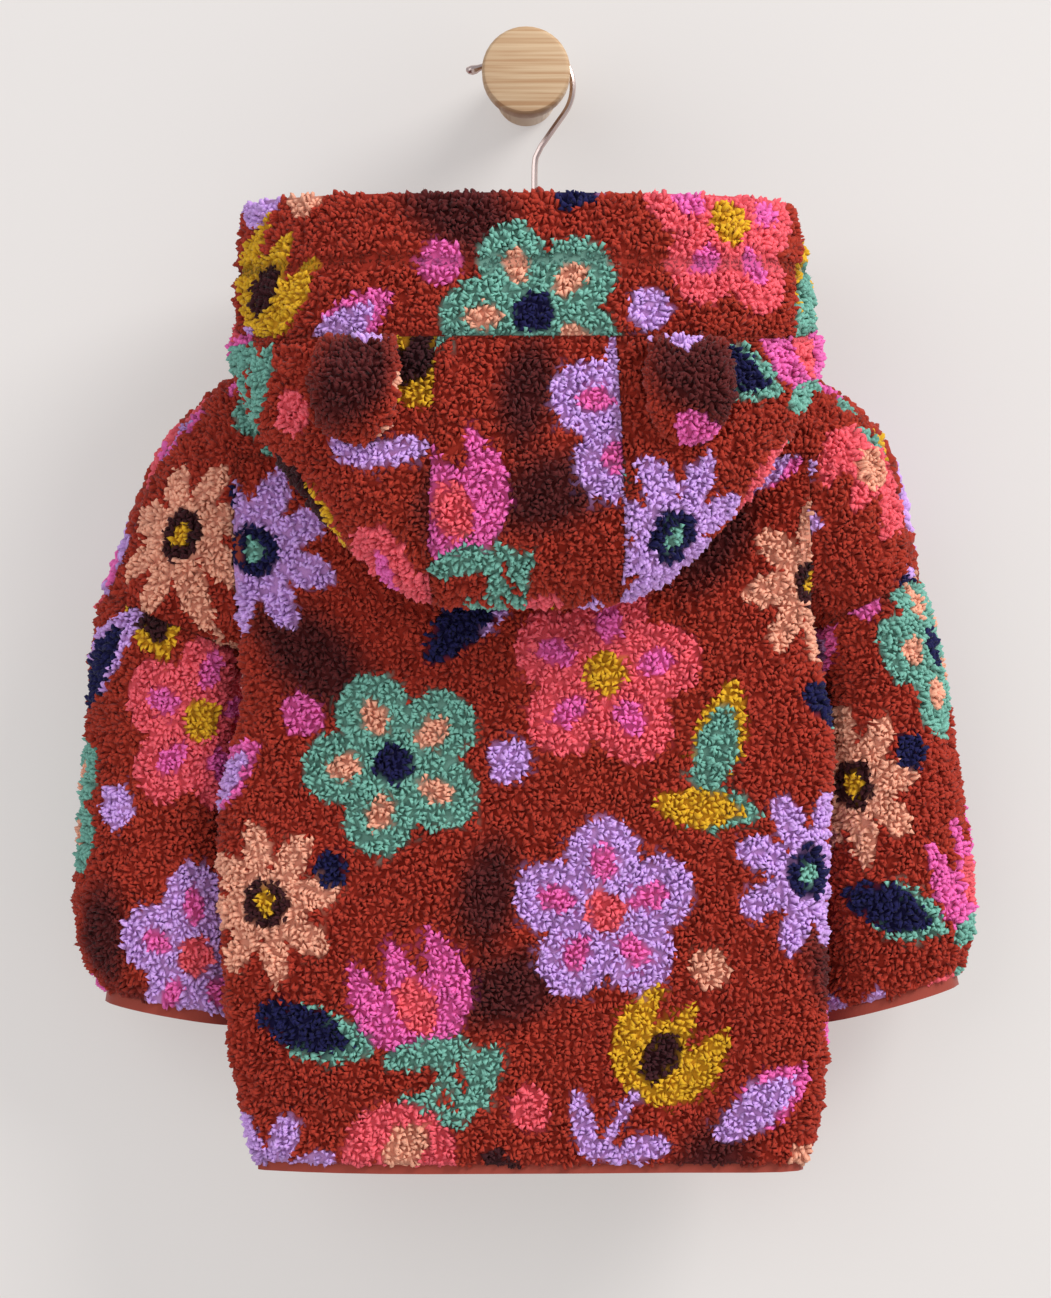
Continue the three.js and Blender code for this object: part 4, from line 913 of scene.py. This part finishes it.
def fleece_piece(panel):
    """One cut piece: its backing, and the curled pile that grows on it."""
    rng = np.random.default_rng(settings("fleece").seed + sum(map(ord, panel.node)))
    clear_old(panel.node + "_cloth", panel.node + "_pile")
    points, faces = solid_mesh(panel.node)
    sides = face_sides(panel, points, faces)
    sides[bare_edges(points, faces, sides)] = 1
    cloth, bends = fleece_cloth(panel, points, faces, sides, rng)
    pile = make_object(
        panel.node + "_pile", *pile_mesh(panel, Skin(points, faces, sides), bends, rng)
    )
    wool = material_once("curled_fleece", fleece_material)
    cloth.data.materials.append(wool)
    pile.data.materials.append(wool)

    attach(cloth, BODY)
    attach(pile, BODY)
    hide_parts(panel.node)


class PieceOperator:
    """Shared by the operators that make one group of fleece pieces."""

    bl_options = {"REGISTER", "UNDO"}
    panels = []

    def execute(self, context):
        for panel in self.panels:
            fleece_piece(panel)
        return {"FINISHED"}


class JACKET_OT_body(PieceOperator, bpy.types.Operator):
    """Make the back and the two fronts"""

    bl_idname = "fleece_jacket.body"
    bl_label = "Back and fronts"
    panels = BODY_PANELS


class JACKET_OT_yokes(PieceOperator, bpy.types.Operator):
    """Make the back yoke and the two front yokes"""

    bl_idname = "fleece_jacket.yokes"
    bl_label = "Yokes"
    panels = YOKE_PANELS


class JACKET_OT_sleeves(PieceOperator, bpy.types.Operator):
    """Make both sleeves"""

    bl_idname = "fleece_jacket.sleeves"
    bl_label = "Sleeves"
    panels = SLEEVE_PANELS


class JACKET_OT_hood(PieceOperator, bpy.types.Operator):
    """Make the hood's middle, sides and band"""

    bl_idname = "fleece_jacket.hood"
    bl_label = "Hood"
    panels = HOOD_PANELS


class JACKET_OT_ears(PieceOperator, bpy.types.Operator):
    """Make the two stuffed ears"""

    bl_idname = "fleece_jacket.ears"
    bl_label = "Ears"
    panels = EAR_PANELS


# Edges sharper than this stay sharp, on metal and cloth and on the turned peg
SHARP = math.radians(40)
PEG_SHARP = math.radians(30)
# Points that face up by more than this are a binding's top edge
TOP_EDGE = 0.3


def refinish(node, name, material, lip=0.0, body=BODY):
    """A smooth copy of a node with a better finish, and its top edge raised by a lip."""
    clear_old(name)
    points, faces = solid_mesh(node)
    points[corner_normals(points, faces)[:, 2] > TOP_EDGE, 2] += lip
    made = make_object(name, points, faces)
    made.data.set_sharp_from_angle(angle=SHARP)
    made.data.materials.append(material)
    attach(made, body)
    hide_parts(node)
    return made


def knit_material():
    """Fine ribbed jersey."""
    made = plain_material("binding_jersey", settings("trim").binding, 0.85)
    made.node_tree.nodes["Principled BSDF"].inputs["Sheen Weight"].default_value = 0.2
    add_bump(made, 900, 0.35, 0.0004, (1, 1, 0.35))
    return made


# Flat size in m of what shows of each binding, and how far it laps up under the pile
BINDING_CUTS = {
    "hem_binding": (0.635, 0.0102),
    "cuff_binding_left": (0.205, 0.0102),
    "cuff_binding_right": (0.205, 0.0102),
}
LIP = 0.0014


class JACKET_OT_bindings(bpy.types.Operator):
    """Make the jersey bindings of the hem and cuffs"""

    bl_idname = "fleece_jacket.bindings"
    bl_label = "Bindings"
    bl_options = {"REGISTER", "UNDO"}

    def execute(self, context):
        jersey = material_once("binding_jersey", knit_material)
        for node, cut in BINDING_CUTS.items():
            made = refinish(node, node + "_jersey", jersey, LIP)
        return {"FINISHED"}


# A zip tooth's size across, deep and tall, its lap over the middle, and the bare end of the chain
TOOTH = np.array([0.0032, 0.0026, 0.0011])
TOOTH_LAP = 0.0007
CHAIN_END = 0.001
# Points of the chain beside a tooth, from which its front is read
CHAIN_POINTS = 8
SLIDER_EDGE = 0.0003
BOX_POINTS = np.array([(x, y, z) for x in (0, 1) for y in (0, 1) for z in (0, 1)], float)
BOX_FACES = np.array([
    (0, 1, 3), (0, 3, 2), (4, 6, 7), (4, 7, 5), (0, 4, 5), (0, 5, 1),
    (2, 3, 7), (2, 7, 6), (0, 2, 6), (0, 6, 4), (1, 5, 7), (1, 7, 3),
])


def teeth_mesh(pitch):
    """Teeth up the zip's chain, by turns from the left tape and from the right one."""
    low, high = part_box("zip_chain")
    rows = int((high.z - low.z) / pitch * 2)
    chain = solid_mesh("zip_chain")[0]
    points, faces = [], []
    for i, z in enumerate(np.linspace(low.z + CHAIN_END, high.z - CHAIN_END, rows)):
        front = chain[np.argsort(np.abs(chain[:, 2] - z))[:CHAIN_POINTS], 1].max()
        way = 1 if i % 2 else -1
        corner = np.array([-TOOTH_LAP * way, front - TOOTH[1], z - TOOTH[2] / 2])
        points.append(corner + BOX_POINTS * TOOTH * (way, 1, 1))
        faces.append((BOX_FACES if way > 0 else BOX_FACES[:, ::-1]) + len(BOX_POINTS) * i)
    return np.concatenate(points), np.concatenate(faces)


class JACKET_OT_zip(bpy.types.Operator):
    """Make the zip's tapes and teeth, and finish its slider and pull tab"""

    bl_idname = "fleece_jacket.zip"
    bl_label = "Zip"
    bl_options = {"REGISTER", "UNDO"}

    def execute(self, context):
        trim = settings("trim")
        tape = plain_material("zip_tape_weave", trim.tape, 0.8)
        add_bump(tape, 1500, 0.3, 0.0002, (1, 1, 2.5))
        metal = plain_material("zip_teeth_metal", trim.metal, 0.34, 1.0)
        for side in ("left", "right"):
            refinish("zip_tape_" + side, "zip_tape_" + side + "_woven", tape)
        clear_old("zip_teeth")
        teeth = make_object("zip_teeth", *teeth_mesh(trim.tooth), smooth=False)
        teeth.data.materials.append(metal)
        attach(teeth, BODY)
        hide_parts("zip_chain")
        slider = refinish("zip_slider", "zip_slider_metal", metal)
        round_edges(slider, SLIDER_EDGE)
        refinish("zip_pull", "zip_pull_metal", metal, body="pull_tab")
        return {"FINISHED"}


def round_edges(made, width):
    bevel = made.modifiers.new("rounded edges", "BEVEL")
    bevel.width = width
    bevel.segments = 2
    bevel.limit_method = "ANGLE"


def wood_material():
    """Pale wood with fine level grain."""
    look = settings("hanger")
    made = plain_material("pale_wood", look.wood, 0.6)
    nodes, links = made.node_tree.nodes, made.node_tree.links
    place = nodes.new("ShaderNodeTexCoord")
    mapping = nodes.new("ShaderNodeMapping")
    mapping.inputs["Scale"].default_value = (6, 6, 330)
    noise = nodes.new("ShaderNodeTexNoise")
    noise.inputs["Scale"].default_value = 1.6
    noise.inputs["Detail"].default_value = 4
    noise.inputs["Distortion"].default_value = 0.4
    ramp = nodes.new("ShaderNodeValToRGB")
    ramp.color_ramp.elements[0].position = 0.36
    ramp.color_ramp.elements[0].color = look.grain
    ramp.color_ramp.elements[1].position = 0.58
    ramp.color_ramp.elements[1].color = look.wood
    links.new(place.outputs["Object"], mapping.inputs["Vector"])
    links.new(mapping.outputs["Vector"], noise.inputs["Vector"])
    links.new(noise.outputs["Fac"], ramp.inputs["Fac"])
    links.new(ramp.outputs["Color"], nodes["Principled BSDF"].inputs["Base Color"])
    return made


class JACKET_OT_hanger(bpy.types.Operator):
    """Finish the hanger's bar and its wire hook"""

    bl_idname = "fleece_jacket.hanger"
    bl_label = "Hanger"
    bl_options = {"REGISTER", "UNDO"}

    def execute(self, context):
        wood = material_once("pale_wood", wood_material)
        refinish("hanger_bar", "hanger_bar_wood", wood)
        wire = plain_material("hook_wire_steel", settings("hanger").wire, 0.26, 1.0)
        refinish("hanger_hook", "hanger_hook_wire", wire)
        return {"FINISHED"}


class JACKET_OT_peg(bpy.types.Operator):
    """Finish the wall peg"""

    bl_idname = "fleece_jacket.peg"
    bl_label = "Wall peg"
    bl_options = {"REGISTER", "UNDO"}

    def execute(self, context):
        wood = material_once("pale_wood", wood_material)
        made = refinish("wall_peg", "wall_peg_wood", wood)
        made.data.set_sharp_from_angle(angle=PEG_SHARP)
        return {"FINISHED"}


def backdrop_material():
    """Pale matt paint that is clear from behind, so that the wall hides nothing."""
    look = settings("stage")
    lit = [part * look.glow for part in look.wall[:3]]
    painted = [part * look.paint for part in look.wall[:3]]
    made = plain_material("pale_paint", [*painted, 1.0], 0.9)
    nodes, links = made.node_tree.nodes, made.node_tree.links
    nodes["Principled BSDF"].inputs["Emission Color"].default_value = [*lit, 1.0]
    nodes["Principled BSDF"].inputs["Emission Strength"].default_value = 1.0
    side = nodes.new("ShaderNodeNewGeometry")
    clear = nodes.new("ShaderNodeBsdfTransparent")
    mix = nodes.new("ShaderNodeMixShader")
    links.new(side.outputs["Backfacing"], mix.inputs["Fac"])
    links.new(nodes["Principled BSDF"].outputs["BSDF"], mix.inputs[1])
    links.new(clear.outputs["BSDF"], mix.inputs[2])
    links.new(mix.outputs["Shader"], nodes["Material Output"].inputs["Surface"])
    return made


# Lights: place, middle of what they light, width, colour
LIGHTS = {
    "key light": ((2.4, -1.8, 2.0), (0, 0, -0.32), 1.9, (1.0, 0.985, 0.97)),
    "fill light": ((-1.5, -2.4, 0.6), (0, 0, -0.40), 2.2, (0.97, 0.98, 1.0)),
    "back light": ((0.4, 1.6, 0.3), (0, 0, -0.35), 1.5, (1.0, 1.0, 1.0)),
}
SKY = (0.93, 0.94, 1.0, 1.0)
SKY_STRENGTH = 0.5
# Room in m: half its width, its ceiling, its floor and its near end
ROOM = (2.6, 1.5, -0.95, -3.2)
SENSOR = 36.0
CAMERA_X = -0.0003


def area_light(name, power):
    """A round lamp of the studio."""
    place, target, size, colour = LIGHTS[name]
    clear_old(name)
    data = bpy.data.lights.new(name, "AREA")
    data.shape = "DISK"
    data.size = size
    data.energy = power
    data.color = colour
    made = bpy.data.objects.new(name, data)
    made.location = place
    aim = Vector(target) - Vector(place)
    made.rotation_euler = aim.to_track_quat("-Z", "Y").to_euler()
    bpy.context.scene.collection.objects.link(made)


class JACKET_OT_stage(bpy.types.Operator):
    """Make the wall, the floor, the lights and the camera"""

    bl_idname = "fleece_jacket.stage"
    bl_label = "Studio"
    bl_options = {"REGISTER", "UNDO"}

    def execute(self, context):
        look = settings("stage")
        paint = backdrop_material()
        clear_old("wall", "floor", "camera")
        wide, top, low, near = ROOM
        wall = np.array([(-wide, 0, low), (wide, 0, low), (wide, 0, top), (-wide, 0, top)])
        floor = np.array([(-wide, near, low), (wide, near, low), (wide, 0, low), (-wide, 0, low)])
        for name, corners in (("wall", wall), ("floor", floor)):
            made = make_object(name, corners, np.array([[0, 1, 2, 3]]), smooth=False)
            made.data.materials.append(paint)
            made.visible_shadow = False
            made.visible_diffuse = name == "floor"
        area_light("key light", look.key)
        area_light("fill light", look.fill)
        area_light("back light", look.fill)
        world = bpy.context.scene.world or bpy.data.worlds.new("studio")
        bpy.context.scene.world = world
        world.use_nodes = True
        shade = world.node_tree.nodes["Background"]
        shade.inputs["Color"].default_value = SKY
        shade.inputs["Strength"].default_value = SKY_STRENGTH
        data = bpy.data.cameras.new("camera")
        data.sensor_width = SENSOR
        data.lens = SENSOR * look.distance / look.field
        data.clip_start, data.clip_end = 0.05, 20
        camera = bpy.data.objects.new("camera", data)
        camera.location = (CAMERA_X, HANGER_Y - look.distance, look.level)
        camera.rotation_euler = (math.pi / 2, 0, 0)
        bpy.context.scene.collection.objects.link(camera)
        bpy.context.scene.camera = camera
        bpy.context.scene.view_settings.view_transform = "Standard"
        return {"FINISHED"}


STEPS = [
    JACKET_OT_body,
    JACKET_OT_yokes,
    JACKET_OT_sleeves,
    JACKET_OT_hood,
    JACKET_OT_ears,
    JACKET_OT_bindings,
    JACKET_OT_zip,
    JACKET_OT_hanger,
    JACKET_OT_peg,
    JACKET_OT_stage,
]
GROUPS = {
    "fleece": FleeceSettings,
    "print": PrintSettings,
    "trim": TrimSettings,
    "hanger": HangerSettings,
    "stage": StageSettings,
}


class JACKET_PT_panel(bpy.types.Panel):
    """Buttons and settings of the jacket"""

    bl_idname = "JACKET_PT_panel"
    bl_label = "Fleece Jacket"
    bl_space_type = "VIEW_3D"
    bl_region_type = "UI"
    bl_category = "Fleece Jacket"

    def draw(self, context):
        for step in STEPS:
            self.layout.operator(step.bl_idname)
        for name, group in GROUPS.items():
            box = self.layout.box()
            box.label(text=name.capitalize())
            for setting in group.__annotations__:
                box.prop(settings(name), setting)


def register():
    for group in GROUPS.values():
        bpy.utils.register_class(group)
    for step in [*STEPS, JACKET_PT_panel]:
        bpy.utils.register_class(step)
    for name, group in GROUPS.items():
        pointer = bpy.props.PointerProperty(type=group)
        setattr(bpy.types.Scene, "fleece_jacket_" + name, pointer)


def unregister():
    for name in GROUPS:
        delattr(bpy.types.Scene, "fleece_jacket_" + name)
    for step in [JACKET_PT_panel, *reversed(STEPS)]:
        bpy.utils.unregister_class(step)
    for group in GROUPS.values():
        bpy.utils.unregister_class(group)


def main():
    register()
    for step in STEPS:
        family, name = step.bl_idname.split(".")
        getattr(getattr(bpy.ops, family), name)()


if __name__ == "__main__":
    main()
